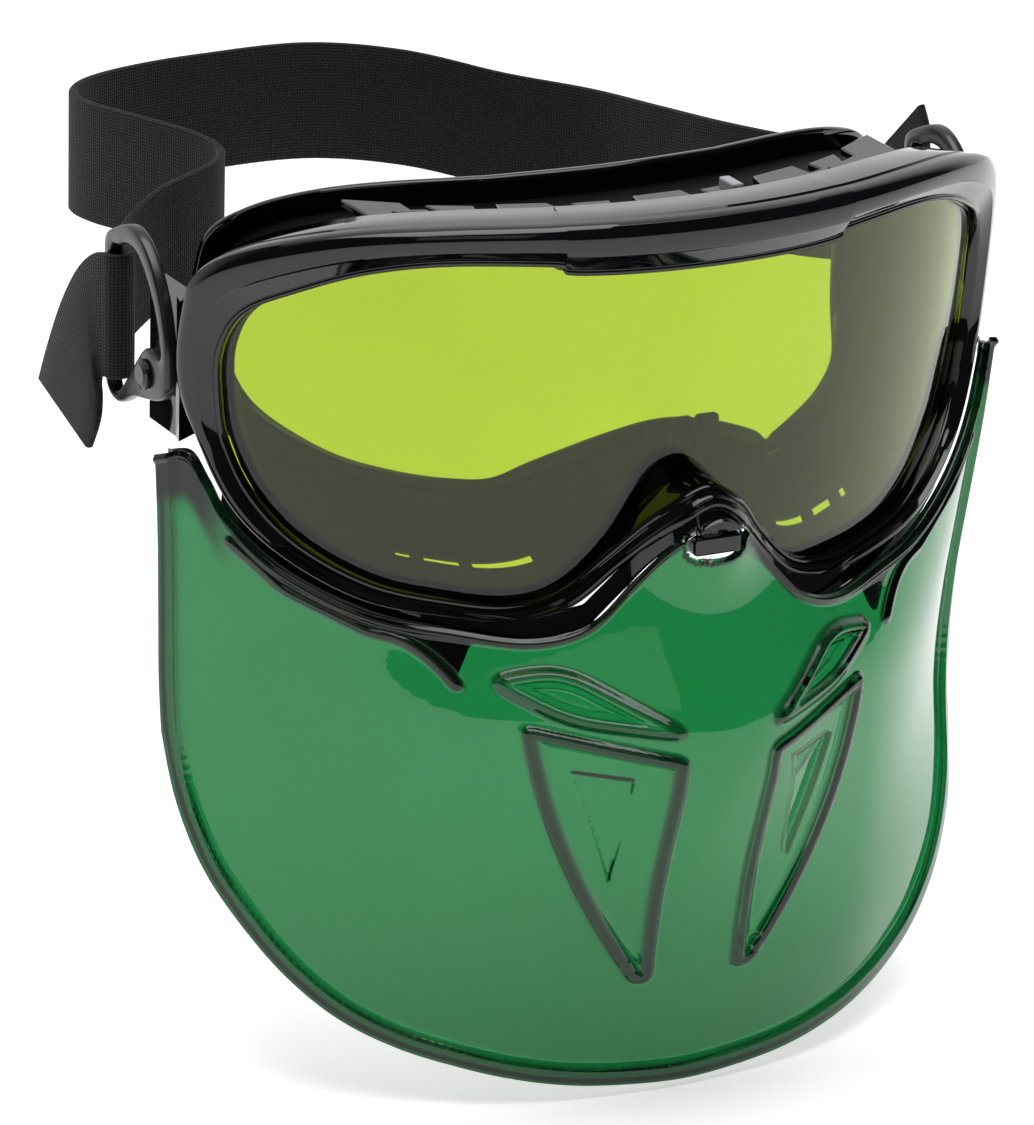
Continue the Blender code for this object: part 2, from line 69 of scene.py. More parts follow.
# Half of the rim: the lens opening (x, z), the frame's outer edge (x, z), the face opening (x, y, z).
RIM_STATIONS = (
    ((0.0, 26.5), (0.0, 37.5), (0.0, 2.0, 27.0)),
    ((27.0, 26.8), (27.5, 37.3), (22.0, 3.5, 27.0)),
    ((30.5, 28.6), (31.5, 37.2), (27.0, 4.6, 27.0)),
    ((48.7, 28.8), (50.0, 36.6), (42.0, 9.5, 26.5)),
    ((62.0, 26.3), (66.0, 34.4), (54.0, 15.0, 25.5)),
    ((72.7, 21.0), (79.0, 29.4), (62.0, 20.5, 23.0)),
    ((79.3, 15.6), (85.6, 23.0), (67.0, 26.0, 18.0)),
    ((82.0, 7.0), (87.3, 13.0), (68.5, 28.5, 10.0)),
    ((81.7, -3.0), (87.2, 1.0), (68.5, 28.3, 2.0)),
    ((80.2, -12.0), (84.6, -9.5), (67.5, 26.5, -6.0)),
    ((76.1, -21.6), (79.3, -23.6), (65.0, 21.5, -13.0)),
    ((69.0, -30.0), (71.5, -32.8), (60.0, 13.0, -17.5)),
    ((58.0, -36.5), (59.5, -40.2), (52.5, 6.5, -21.5)),
    ((46.0, -39.3), (46.5, -43.2), (43.0, 0.0, -23.8)),
    ((34.0, -40.6), (33.3, -44.6), (35.0, -6.0, -24.2)),
    ((25.0, -38.0), (22.5, -41.5), (29.0, -12.5, -22.5)),
    ((17.0, -30.5), (14.2, -33.6), (23.0, -18.0, -18.0)),
    ((9.0, -21.5), (6.5, -25.0), (11.0, -22.5, -13.0)),
    ((0.0, -16.6), (0.0, -21.0), (0.0, -24.0, -11.0)),
)
RIM_SAMPLES = 12

# Half of the chin shield, from the middle line outwards: each column's top (x, z) and foot (x, y, z).
SHIELD_STATIONS = (
    ((0.0, -21.5), (0.0, -39.5, -140.0)),
    ((7.2, -25.7), (13.0, -38.8, -139.3)),
    ((14.8, -34.4), (24.0, -37.3, -138.0)),
    ((23.0, -42.3), (34.0, -34.7, -136.0)),
    ((33.4, -45.3), (43.5, -30.8, -133.4)),
    ((46.7, -43.9), (54.0, -24.4, -130.0)),
    ((60.2, -41.5), (63.6, -17.8, -124.8)),
    ((73.0, -34.7), (71.8, -11.0, -117.0)),
    ((81.6, -25.6), (78.5, -3.2, -107.0)),
    ((85.2, -18.0), (82.6, 4.4, -97.6)),
    ((87.8, -12.8), (85.2, 10.4, -86.0)),
    ((91.0, -14.0), (87.0, 13.0, -73.0)),
)
SHIELD_COLUMN_SAMPLES = 22
SHIELD_ROWS = 270
SHIELD_THICKNESS = 1.8
SHIELD_BULGE, SHIELD_BULGE_Z = 12.5, -62.0
SHIELD_MIDDLE = (
    (-10.0, -38.0), (-30.0, -38.0), (-44.0, -38.6), (-60.0, -45.2), (-117.0, -43.5), (-140.0, -40.0),
)
SHIELD_SIDE = (
    (-10.0, -45.5), (-30.0, -42.0), (-47.0, -38.0), (-62.0, -34.4), (-76.0, -32.7), (-87.0, -33.0),
    (-107.0, -38.5), (-140.0, -40.0),
)
SIDE_FROM_X, SIDE_TO_X = 40.0, 88.0

STRAP_WIDTH = 25.0
STRAP_THICKNESS = 1.6
# The strap clips swing on one axis, along X through both pegs.
PIVOT_Y, PIVOT_Z = 17.7, -1.6
PEG_RADIUS, PEG_FIT = 2.2, 0.1
CLIP_IN_X, CLIP_THICKNESS = 86.9, 2.7

# A strap clip seen from the side: the outer edge and the opening (y, z), matched point by point.
CLIP_EDGE = (
    (17.5, -6.8), (11.8, -5.2), (9.0, -2.2), (8.5, 3.0), (9.3, 8.6), (11.6, 14.6),
    (16.0, 20.6), (21.2, 24.4), (26.5, 25.4), (32.5, 23.4), (37.4, 20.0), (37.2, 12.0),
    (36.9, 2.0), (36.6, -8.6), (31.0, -11.4), (24.0, -8.2),
)
CLIP_OPENING = (
    (18.5, 3.2), (14.0, 2.8), (12.0, 3.0), (11.2, 4.6), (12.2, 8.0), (14.6, 13.0),
    (18.6, 18.0), (22.8, 21.0), (27.0, 21.4), (30.6, 20.2), (34.0, 19.0), (34.0, 12.0),
    (34.0, 2.0), (33.9, -8.2), (30.4, -8.8), (24.6, -3.0),
)
BAND_Z = 5.4  # the height of the strap's middle line where it turns round a clip's bar

# The strap's middle line and, where it isn't upright, the direction of its width.
UPRIGHT = (0.0, 0.0, 1.0)
STRAP_ROUTE = (
    ((-93.6, 46.5, -17.8), (0.0, 0.96, 0.28)),
    ((-93.2, 42.0, -8.5), (0.0, 0.82, 0.57)),
    ((-92.4, 38.8, -0.5), (0.0, 0.50, 0.87)),
    ((-91.5, 36.8, 4.0), (0.0, 0.15, 0.99)),
    ((-90.8, 34.4, BAND_Z), UPRIGHT),
    ((-90.2, 32.5, BAND_Z), UPRIGHT),
    ((-88.2, 31.6, BAND_Z), UPRIGHT),
    ((-86.2, 32.5, BAND_Z), UPRIGHT),
    ((-85.6, 34.4, BAND_Z), UPRIGHT),
    ((-84.6, 40.5, 6.2), UPRIGHT),
    ((-80.0, 47.5, 7.4), UPRIGHT),
    ((-71.5, 53.0, 10.4), UPRIGHT),
    ((-63.0, 56.6, 11.8), UPRIGHT),
    ((-55.4, 61.0, 12.4), UPRIGHT),
    ((-51.8, 67.0, 13.2), UPRIGHT),
    ((-53.6, 75.5, 14.0), UPRIGHT),
    ((-60.0, 89.0, 14.5), UPRIGHT),
    ((-64.6, 100.0, 14.5), UPRIGHT),
    ((-65.0, 109.0, 14.5), UPRIGHT),
    ((-59.0, 116.5, 14.5), UPRIGHT),
    ((-47.0, 121.5, 14.5), UPRIGHT),
    ((-30.0, 124.2, 14.5), UPRIGHT),
    ((-6.0, 124.2, 14.4), UPRIGHT),
    ((15.0, 120.2, 11.6), UPRIGHT),
    ((34.0, 112.2, 6.8), UPRIGHT),
    ((48.5, 101.0, 4.8), UPRIGHT),
    ((56.8, 85.0, 4.4), UPRIGHT),
    ((63.5, 69.5, 4.5), UPRIGHT),
    ((72.0, 55.5, 4.5), UPRIGHT),
    ((80.5, 45.5, 4.8), UPRIGHT),
    ((84.8, 38.5, 5.2), UPRIGHT),
    ((85.6, 34.4, BAND_Z), UPRIGHT),
    ((86.2, 32.5, BAND_Z), UPRIGHT),
    ((88.2, 31.6, BAND_Z), UPRIGHT),
    ((90.2, 32.5, BAND_Z), UPRIGHT),
    ((90.8, 34.4, BAND_Z), UPRIGHT),
    ((91.4, 38.6, 7.0), (0.0, -0.22, 0.97)),
    ((91.9, 43.6, 11.4), (0.0, -0.56, 0.83)),
    ((92.0, 48.6, 17.4), (0.0, -0.74, 0.67)),
)

# The shield's moulded features, alike on both sides. x is the distance from the middle line.
# A rib runs below the shield's top edge, and its inner end drops away in a hook.
RIB_OUTER_X, RIB_TURN_X, RIB_INNER_X = 81.0, 57.0, 47.0
RIB_BELOW_EDGE, RIB_HOOK = 3.5, 6.5
# A raised panel stands beside the mouth: its top slopes to the middle and its outer side to the foot.
PANEL_NEAR_X, PANEL_FAR_X, PANEL_BOW = 9.0, 37.0, 4.0
PANEL_FAR_Z, PANEL_NEAR_Z, PANEL_FOOT_Z = -61.0, -66.5, -117.0
PANEL_FOOT_WIDTH = 4.0
PANEL_BORDER = 2.5
PANEL_CORNER = 2.2
# In it lies a wedge, cut deep along its top and outer edges.
WEDGE = ((29.0, -70.5), (18.0, -72.0), (19.5, -96.0))
# Above the panel is a long scoop: outer tip, crest, inner tip and keel.
SCOOP = ((42.0, -53.0), (29.0, -50.5), (8.5, -62.0), (29.0, -60.0))
SCOOP_BORDER = 1.8
# How far each feature stands out of the plain face, or sinks into it.
TOP_BEAD_HEIGHT, RIB_HEIGHT, HEM_HEIGHT = 0.75, 0.95, 1.5
SCOOP_LIP_HEIGHT, SCOOP_DEPTH = 1.5, 2.9
PANEL_LIP_HEIGHT, PANEL_DEPTH, WEDGE_DEPTH, MARK_DEPTH = 1.25, 1.7, 1.3, 0.25
WINDOW_CENTRE_Z, WINDOW_HALF_WIDTH, WINDOW_HALF_HEIGHT = -27.2, 6.5, 3.0
MARK_X, MARK_Z, MARK_RADIUS = 13.5, -112.5, 1.6


def smooth_curve(rows, per_span, closed=False):
    """Rows of numbers on a Catmull-Rom curve through the given rows."""
    count = len(rows)
    made = []
    for i in range(count if closed else count - 1):
        if closed:
            a, b, c, d = (rows[(i + k) % count] for k in (-1, 0, 1, 2))
        else:
            a, b, c, d = (rows[min(max(i + k, 0), count - 1)] for k in (-1, 0, 1, 2))
        for step in range(per_span):
            t = step / per_span
            row = []
            for p, q, r, s in zip(a, b, c, d):
                bend = (2 * p - 5 * q + 4 * r - s) * t * t + (3 * q - p - 3 * r + s) * t**3
                row.append(q + 0.5 * ((r - p) * t + bend))
            made.append(tuple(row))
    if not closed:
        made.append(tuple(rows[-1]))
    return made


def flat_rows(rows):
    """Rows of tuples as rows of plain numbers."""
    return [tuple(number for part in row for number in part) for row in rows]


def unrolled(x):
    return WRAP_RADIUS * math.asin(x / WRAP_RADIUS)


def nose_rise(along, z):
    """How far the nose bridge stands out in front of the lens. It takes arrays too."""
    return NOSE_RISE * np.exp(-((along / 11.0) ** 2) - ((z - NOSE_Z) / 12.0) ** 2)


def on_lens(along, z, lift=0.0):
    """The point at a place along the wrap, lifted off the lens's front face."""
    angle = along / WRAP_RADIUS
    reach = WRAP_RADIUS + lift
    middle_y = LENS_Y - LENS_LEAN * (z - BROW_Z)
    return Vector((math.sin(angle) * reach, middle_y + WRAP_RADIUS - math.cos(angle) * reach, z))


class Station:
    """One place on the rim, between the lens opening and the frame's outer edge."""

    def __init__(self, row):
        self.inner = Vector((unrolled(row[0]), row[1]))
        outer = Vector((unrolled(row[2]), row[3]))
        self.width = (outer - self.inner).length
        self.out = (outer - self.inner).normalized()
        self.face = Vector(row[4:7])

    def at(self, outward, lift, nose=False):
        place = self.inner + self.out * outward
        point = on_lens(place.x, place.y, lift)
        if nose:
            point.y -= nose_rise(place.x, place.y)
        return point

    def face_point(self, outward, back=0.0):
        """A point beside the face opening, outward in the plane of X and Z."""
        away = Vector((self.out.x, 0.0, self.out.y))
        return self.face + away * outward + Vector((0.0, back, 0.0))


def rim_stations(samples=RIM_SAMPLES):
    half = flat_rows(RIM_STATIONS)
    mirror = [(-r[0], r[1], -r[2], r[3], -r[4], r[5], r[6]) for r in half[-2:0:-1]]
    return [Station(row) for row in smooth_curve(half + mirror, samples, closed=True)]


def frame_depth(station):
    """How far the frame's wall runs back: deep over the brow, least under the eyes."""
    high = min(1.0, max(0.0, (station.inner.y + 20.0) / 20.0))
    round_side = min(1.0, abs(station.inner.x) / unrolled(82.0)) ** 3
    top = DEPTH_TOP + (DEPTH_SIDE - DEPTH_TOP) * round_side
    return DEPTH_FOOT + (top - DEPTH_FOOT) * high


def step(low, high, value):
    """0 below low, 1 above high and smooth between. It takes arrays too."""
    share = np.clip((value - low) / (high - low), 0.0, 1.0)
    return share * share * (3 - 2 * share)


# ---------------------------------------------------------------- meshes


def link(name, mesh, look, smooth_deg=40.0):
    mesh.shade_smooth()
    mesh.set_sharp_from_angle(angle=math.radians(smooth_deg))
    mesh.materials.append(look)
    made = bpy.data.objects.new(name, mesh)
    bpy.context.scene.collection.objects.link(made)
    return made


def mesh_object(name, points, faces, look, smooth_deg=40.0):
    """A closed piece from points in millimetres, with its faces turned outwards."""
    mesh = bpy.data.meshes.new(name)
    mesh.from_pydata([Vector(point) * MM for point in points], [], faces)
    work = bmesh.new()
    work.from_mesh(mesh)
    bmesh.ops.recalc_face_normals(work, faces=work.faces)
    if work.calc_volume(signed=True) < 0:
        bmesh.ops.reverse_faces(work, faces=work.faces)
    work.to_mesh(mesh)
    work.free()
    return link(name, mesh, look, smooth_deg)


def ring_solid(name, sections, look, closed, smooth_deg=40.0):
    """Joins closed sections, one after another; an open run is capped at both ends."""
    count = len(sections[0])
    points = [point for section in sections for point in section]
    faces = []
    spans = len(sections) if closed else len(sections) - 1
    for i in range(spans):
        here, there = i * count, (i + 1) % len(sections) * count
        for j in range(count):
            k = (j + 1) % count
            faces.append((here + j, here + k, there + k, there + j))
    if not closed:
        faces.append(tuple(range(count)))
        last = (len(sections) - 1) * count
        faces.append(tuple(range(last, last + count)))
    return mesh_object(name, points, faces, look, smooth_deg)


def bevelled(thing, width, segments=3, angle_deg=40.0):
    made = thing.modifiers.new("Bevel", "BEVEL")
    made.width = width * MM
    made.segments = segments
    made.limit_method = "ANGLE"
    made.angle_limit = math.radians(angle_deg)
    made.harden_normals = False
    return thing


# ---------------------------------------------------------------- materials


def add(tree, kind, **inputs):
    """A node of the given kind, its sockets set by name (spaces written as _)."""
    node = tree.nodes.new(kind)
    for name, value in inputs.items():
        node.inputs[name.replace("_", " ")].default_value = value
    return node


def remap(tree, source, low, high, to_low, to_high):
    """The source's value, with low..high stretched to to_low..to_high."""
    node = add(tree, "ShaderNodeMapRange", From_Min=low, From_Max=high, To_Min=to_low, To_Max=to_high)
    tree.links.new(source, node.inputs["Value"])
    return node.outputs["Result"]


def two_tone(tree, source, *stops):
    """The source's value as a colour between two stops, each (place, colour)."""
    node = add(tree, "ShaderNodeValToRGB")
    for element, (place, colour) in zip(node.color_ramp.elements, stops):
        element.position = place
        element.color = (*colour, 1.0)
    tree.links.new(source, node.inputs["Fac"])
    return node.outputs["Color"]


def plastic(name, colour, roughness, grain=0.0, grain_size=0.4, spread=0.05, index=1.54):
    """A moulded plastic or rubber: faint clouding, a little uneven gloss and, where asked, a fine grain."""
    made = bpy.data.materials.new(name)
    made.use_nodes = True
    tree = made.node_tree
    shader = tree.nodes["Principled BSDF"]
    shader.inputs["IOR"].default_value = index
    place = add(tree, "ShaderNodeTexCoord")
    cloud = add(tree, "ShaderNodeTexNoise", Scale=55.0, Detail=5.0, Roughness=0.6)
    tree.links.new(place.outputs["Object"], cloud.inputs["Vector"])
    dark, light = [c * 0.75 for c in colour], [c * 1.3 for c in colour]
    shades = two_tone(tree, cloud.outputs["Fac"], (0.3, dark), (0.7, light))
    tree.links.new(shades, shader.inputs["Base Color"])
    gloss = remap(tree, cloud.outputs["Fac"], 0.0, 1.0, max(0.02, roughness - spread), roughness + spread)
    tree.links.new(gloss, shader.inputs["Roughness"])
    if grain:
        fine = add(tree, "ShaderNodeTexNoise", Scale=1.0 / (grain_size * MM), Detail=3.0)
        tree.links.new(place.outputs["Object"], fine.inputs["Vector"])
        bump = add(tree, "ShaderNodeBump", Strength=grain, Distance=0.1 * MM)
        tree.links.new(fine.outputs["Fac"], bump.inputs["Height"])
        tree.links.new(bump.outputs["Normal"], shader.inputs["Normal"])
    return made


def tinted_clear(name, colour, lamp_tint, index, roughness=0.012, deep=None):
    """Polished transparent plastic with faint scuffs. Lamps shine through it in its own tint.

    Where deep is given, the tint darkens to it as the mesh's "wall" value rises from 0 to 1; this is painted
    shade.
    """
    made = bpy.data.materials.new(name)
    made.use_nodes = True
    tree = made.node_tree
    shader = tree.nodes["Principled BSDF"]
    shader.inputs["Transmission Weight"].default_value = 1.0
    shader.inputs["IOR"].default_value = index
    place = add(tree, "ShaderNodeTexCoord")
    cloud = add(tree, "ShaderNodeTexNoise", Scale=18.0, Detail=4.0)
    tree.links.new(place.outputs["Object"], cloud.inputs["Vector"])
    dark, light = [c * 0.95 for c in colour], [min(1.0, c * 1.05) for c in colour]
    shades = two_tone(tree, cloud.outputs["Fac"], (0.35, dark), (0.65, light))
    tree.links.new(shades, shader.inputs["Base Color"])
    # Painted shade: the base colour darkens towards deep where the "wall" attribute is high.
    if deep:
        wall = tree.nodes.new("ShaderNodeAttribute")
        wall.attribute_name = "wall"
        painted_shade_mix = tree.nodes.new("ShaderNodeMix")
        painted_shade_mix.data_type = "RGBA"
        painted_shade_mix.inputs[7].default_value = (*deep, 1.0)
        tree.links.new(wall.outputs["Fac"], painted_shade_mix.inputs[0])
        tree.links.new(shades, painted_shade_mix.inputs[6])
        tree.links.new(painted_shade_mix.outputs[2], shader.inputs["Base Color"])
    scuff = add(tree, "ShaderNodeTexNoise", Scale=900.0, Detail=2.0)
    tree.links.new(place.outputs["Object"], scuff.inputs["Vector"])
    gloss = remap(tree, scuff.outputs["Fac"], 0.55, 0.8, roughness, roughness + 0.012)
    tree.links.new(gloss, shader.inputs["Roughness"])
    path = add(tree, "ShaderNodeLightPath")
    through = add(tree, "ShaderNodeBsdfTransparent", Color=(*lamp_tint, 1.0))
    either = add(tree, "ShaderNodeMixShader")
    out = tree.nodes["Material Output"]
    tree.links.new(path.outputs["Is Shadow Ray"], either.inputs["Fac"])
    tree.links.new(shader.outputs["BSDF"], either.inputs[1])
    tree.links.new(through.outputs["BSDF"], either.inputs[2])
    tree.links.new(either.outputs["Shader"], out.inputs["Surface"])
    return made


def knitted(name):
    """Black knitted elastic: fine ribs across the band, rows of loops along it and a dusty fuzz."""
    made = bpy.data.materials.new(name)
    made.use_nodes = True
    tree = made.node_tree
    shader = tree.nodes["Principled BSDF"]
    shader.inputs["Roughness"].default_value = 0.92
    shader.inputs["IOR"].default_value = 1.4
    shader.inputs["Sheen Weight"].default_value = 0.12
    shader.inputs["Sheen Roughness"].default_value = 0.5
    place = add(tree, "ShaderNodeUVMap")
    stretch = add(tree, "ShaderNodeMapping")
    tree.links.new(place.outputs["UV"], stretch.inputs["Vector"])
    ribs = add(tree, "ShaderNodeTexWave", Scale=0.55, Distortion=2.6, Detail=3.0)
    ribs.bands_direction = "X"
    tree.links.new(stretch.outputs["Vector"], ribs.inputs["Vector"])
    loops = add(tree, "ShaderNodeTexWave", Scale=0.5, Distortion=3.0, Detail=3.0)
    loops.bands_direction = "Y"
    tree.links.new(stretch.outputs["Vector"], loops.inputs["Vector"])
    weave = add(tree, "ShaderNodeMath")
    weave.operation = "MULTIPLY"
    tree.links.new(ribs.outputs["Fac"], weave.inputs[0])
    tree.links.new(loops.outputs["Fac"], weave.inputs[1])
    fuzz = add(tree, "ShaderNodeTexNoise", Scale=2.2, Detail=4.0)
    tree.links.new(stretch.outputs["Vector"], fuzz.inputs["Vector"])
    total = add(tree, "ShaderNodeMath")
    total.operation = "MULTIPLY_ADD"
    total.inputs[1].default_value = 0.35
    tree.links.new(fuzz.outputs["Fac"], total.inputs[0])
    tree.links.new(weave.outputs["Value"], total.inputs[2])
    dark, light = (0.0025, 0.0024, 0.0027), (0.024, 0.0235, 0.026)
    shades = two_tone(tree, total.outputs["Value"], (0.2, dark), (1.0, light))
    tree.links.new(shades, shader.inputs["Base Color"])
    bump = add(tree, "ShaderNodeBump", Strength=0.9, Distance=0.22 * MM)
    tree.links.new(total.outputs["Value"], bump.inputs["Height"])
    tree.links.new(bump.outputs["Normal"], shader.inputs["Normal"])
    return made


gloss_black = plastic("gloss_black", (0.0022, 0.0020, 0.0026), 0.045, spread=0.02)
satin_black = plastic("satin_black", (0.006, 0.006, 0.007), 0.30, grain=0.25, grain_size=0.35)
clip_black = plastic("clip_black", (0.008, 0.008, 0.009), 0.24, grain=0.12, grain_size=0.5)
inner_black = plastic("inner_black", (0.0016, 0.0014, 0.0020), 0.6, grain=0.2, index=1.22)
pale_plastic = plastic("pale_plastic", (0.32, 0.32, 0.33), 0.22)
lens_green = tinted_clear("lens_green", (0.33, 0.46, 0.012), (0.33, 0.46, 0.02), index=1.45)
# The shield's deep colour is a near-black green, painted shade on its steep and edged parts.
shield_green = tinted_clear("shield_green", (0.008, 0.165, 0.042), (0.03, 0.2, 0.07), index=1.5,
                            deep=(0.0003, 0.0035, 0.001))
webbing = knitted("webbing")


def finish_piece(thing, body, slot, *replaced):
    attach(thing, body)
    if replaced:
        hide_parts(*replaced)
    return thing


# ---------------------------------------------------------------- the goggles


def frame_profile(station):
    """The frame's section, as (outward from the lens opening, lift off the lens's front face)."""
    width, depth = station.width, frame_depth(station)
    bold = min(1.0, max(0.0, (width - 4.0) / 4.0))  # 0 under the eyes, 1 over the brow
    crease = 0.40 * width + 0.1
    rise = FRAME_RISE
    return [
        (0.0, -FRAME_LIP), (0.0, 0.15), (0.12, 0.55), (0.45, 0.85), (0.85, 0.85), (1.15, 0.6),
        (1.3, 0.42 + 0.2 * bold), (1.5, 0.5 + 0.3 * bold),
        (crease - 0.25, rise * (0.42 + 0.34 * bold)), (crease, rise * (0.50 + 0.34 * bold)),
        (crease + 0.3, rise * (0.60 + 0.32 * bold)),
        (0.56 * width, rise * 0.95), (0.66 * width, rise), (0.78 * width, rise * 0.94),
        (0.88 * width, rise * 0.78), (width - 0.45, rise * 0.52), (width - 0.12, rise * 0.24),
        (width, -0.3), (width, -1.6), (width - 0.35, -2.0), (width - 0.35, -2.7), (width, -3.1),
        (width, -depth + 0.5), (width - 0.2, -depth + 0.1), (width - 0.5, -depth),
        (width - FRAME_WALL, -depth), (width - FRAME_WALL, -FRAME_LIP - 0.2),
        (width - FRAME_WALL - 0.2, -FRAME_LIP),
    ]


def make_frame(stations):
    sections = []
    for station in stations:
        section = []
        for outward, lift in frame_profile(station):
            section.append(station.at(outward, lift, nose=lift > -1.0))
        sections.append(section)
    made = ring_solid("frame_shell", sections, gloss_black, closed=True, smooth_deg=30.0)
    return finish_piece(made, "goggles", "gloss_black", "front_frame")


def lens_heights(stations, along):
    heights = []
    for a, b in zip(stations, stations[1:] + stations[:1]):
        low, high = sorted((a.inner.x, b.inner.x))
        if low <= along <= high and high > low:
            share = (along - a.inner.x) / (b.inner.x - a.inner.x)
            heights.append(a.inner.y + (b.inner.y - a.inner.y) * share)
    return min(heights), max(heights)


def make_lens(stations):
    columns, rows = 120, 10
    half_width = max(station.inner.x for station in stations)
    front_lift = -FRAME_LIP - 0.3
    sections = []
    for i in range(columns + 1):
        along = half_width * math.sin(math.pi * (i / columns - 0.5))
        foot, top = lens_heights(stations, along * 0.998)
        ends = (foot - LENS_MARGIN, top + LENS_MARGIN)
        place = along * (1 + LENS_MARGIN / half_width)
        heights = [ends[0] + (ends[1] - ends[0]) * j / rows for j in range(rows + 1)]
        front = [on_lens(place, z, front_lift) for z in heights]
        back = [on_lens(place, z, front_lift - LENS_THICKNESS) for z in reversed(heights)]
        sections.append(front + back)
    made = ring_solid("lens_pane", sections, lens_green, closed=False)
    return finish_piece(made, "goggles", "lens_green", "lens")


# The eyecup's depth rows, from its front edge (0) to the face opening (1), and the slots in its floor.
CUP_ROWS = (0.0, 0.08, 0.16, 0.24, 0.31, 0.39, 0.48, 0.58, 0.68, 0.78, 0.88, 0.95, 1.0)
SLOT_ROWS = (0.31, 0.39)
SLOT_SPANS = ((26.5, 38.0), (40.5, 47.8), (50.4, 54.0))


def make_eyecup(stations):
    """The soft cup behind the lens: a shell with real vent slots in its floor."""
    count, rows = len(stations), len(CUP_ROWS)
    points, faces = [], []
    for station in stations:
        front, back = station.at(1.3, BODY_FRONT), station.face_point(BODY_WALL)
        away = Vector((station.out.x, 0.0, station.out.y))
        for share in CUP_ROWS:
            belly = 0.8 * math.sin(math.pi * share)
            points.append((front + (back - front) * share + away * belly) * MM)
    for i in range(count):
        place = stations[i].inner
        is_floor = place.y < -28.0
        in_slot = is_floor and any(low < abs(place.x) < high for low, high in SLOT_SPANS)
        for j in range(rows - 1):
            middle = (CUP_ROWS[j] + CUP_ROWS[j + 1]) / 2
            if in_slot and SLOT_ROWS[0] < middle < SLOT_ROWS[1]:
                continue
            k = (i + 1) % count
            faces.append((i * rows + j, k * rows + j, k * rows + j + 1, i * rows + j + 1))
    mesh = bpy.data.meshes.new("eyecup")
    mesh.from_pydata(points, [], faces)
    made = link("eyecup", mesh, inner_black)
    wall = made.modifiers.new("Wall", "SOLIDIFY")
    wall.thickness = BODY_WALL * MM
    wall.offset = -1.0
    if mesh.polygons[0].normal.z < 0:
        mesh.flip_normals()
    return finish_piece(made, "goggles", "soft_black", "goggle_body")


def make_flange(stations):
    """The lip against the face: glossy where it stands up behind the vents."""
    profile = (
        (-1.5, 2.2), (-1.2, 1.0), (-0.5, 0.35), (0.6, 0.1), (1.8, 0.2), (3.2, 0.2), (4.8, 0.1), (6.0, 0.0),
        (6.6, 0.3), (6.8, 0.9), (6.75, 1.6), (6.4, 2.1), (5.6, 2.2), (4.0, 2.1), (2.0, 2.1), (0.4, 2.3),
        (-0.6, 2.8), (-1.2, 2.8),
    )
    sections = [[station.face_point(outward, back) for outward, back in profile] for station in stations]
    made = ring_solid("flange_lip", sections, gloss_black, closed=True, smooth_deg=50.0)
    return finish_piece(made, "goggles", "soft_black", "face_flange")


def behind_lens(x, z, depth):
    middle_y = LENS_Y - LENS_LEAN * (z - BROW_Z)
    return middle_y + WRAP_RADIUS - math.sqrt((WRAP_RADIUS - depth) ** 2 - x**2)


def plate(name, outline, low_z, high_z, look):
    """A flat plate with the given plan (x, y), between two heights."""
    count = len(outline)
    points = [(x, y, low_z) for x, y in outline] + [(x, y, high_z) for x, y in outline]
    faces = [tuple(range(count)), tuple(range(count, 2 * count))]
    for j in range(count):
        k = (j + 1) % count
        faces.append((j, k, count + k, count + j))
    return mesh_object(name, points, faces, look, smooth_deg=30.0)


# The teeth of the plate over the brow vents: (left edge, right edge, how deep, undercut) in millimetres.
SHELF_TEETH = (
    (-57.0, -47.5, 12.5, 0.0), (-44.0, -35.5, 11.5, 0.9), (-31.5, -22.0, 12.5, -1.2),
    (-18.0, -10.0, 11.5, 1.2), (-5.0, 5.5, 12.8, -0.8), (9.0, 18.5, 11.5, 0.9),
    (22.5, 33.0, 12.8, -1.0), (36.5, 44.5, 11.5, 0.8), (47.5, 57.0, 12.5, 0.0),
)


def make_vent_shelf():
    high_z = 34.0
    front = []
    for i in range(61):
        x = -57.0 + 114.0 * i / 60
        front.append((x, behind_lens(x, high_z, DEPTH_TOP + 0.8)))
    rear = []
    root = 7.2
    for low, high, deep, undercut in reversed(SHELF_TEETH):
        for x, reach in ((high - undercut, root), (high, deep), (low, deep), (low + undercut, root)):
            rear.append((x, behind_lens(x, high_z, DEPTH_TOP) + reach))
    made = bevelled(plate("vent_shelf", front + rear, 32.4, high_z, gloss_black), 0.35, 2)
    finish_piece(made, "goggles", "gloss_black", "top_vent_cover")
    for i, x in enumerate((-49.0, -27.0, -14.0, 0.5, 27.5, 41.0)):
        y = behind_lens(x, 34.0, DEPTH_TOP)
        tilt = x / WRAP_RADIUS * 4.0
        corners = [(x - 3.2, y + 3.4 - tilt * 0.6), (x + 3.2, y + 3.4 + tilt * 0.6),
                   (x + 3.2, y + 5.0 + tilt * 0.6), (x - 3.2, y + 5.0 - tilt * 0.6)]
        rib = bevelled(plate(f"shelf_rib_{i}", corners, 33.9, 34.7, gloss_black), 0.25, 2)
        finish_piece(rib, "goggles", "gloss_black")


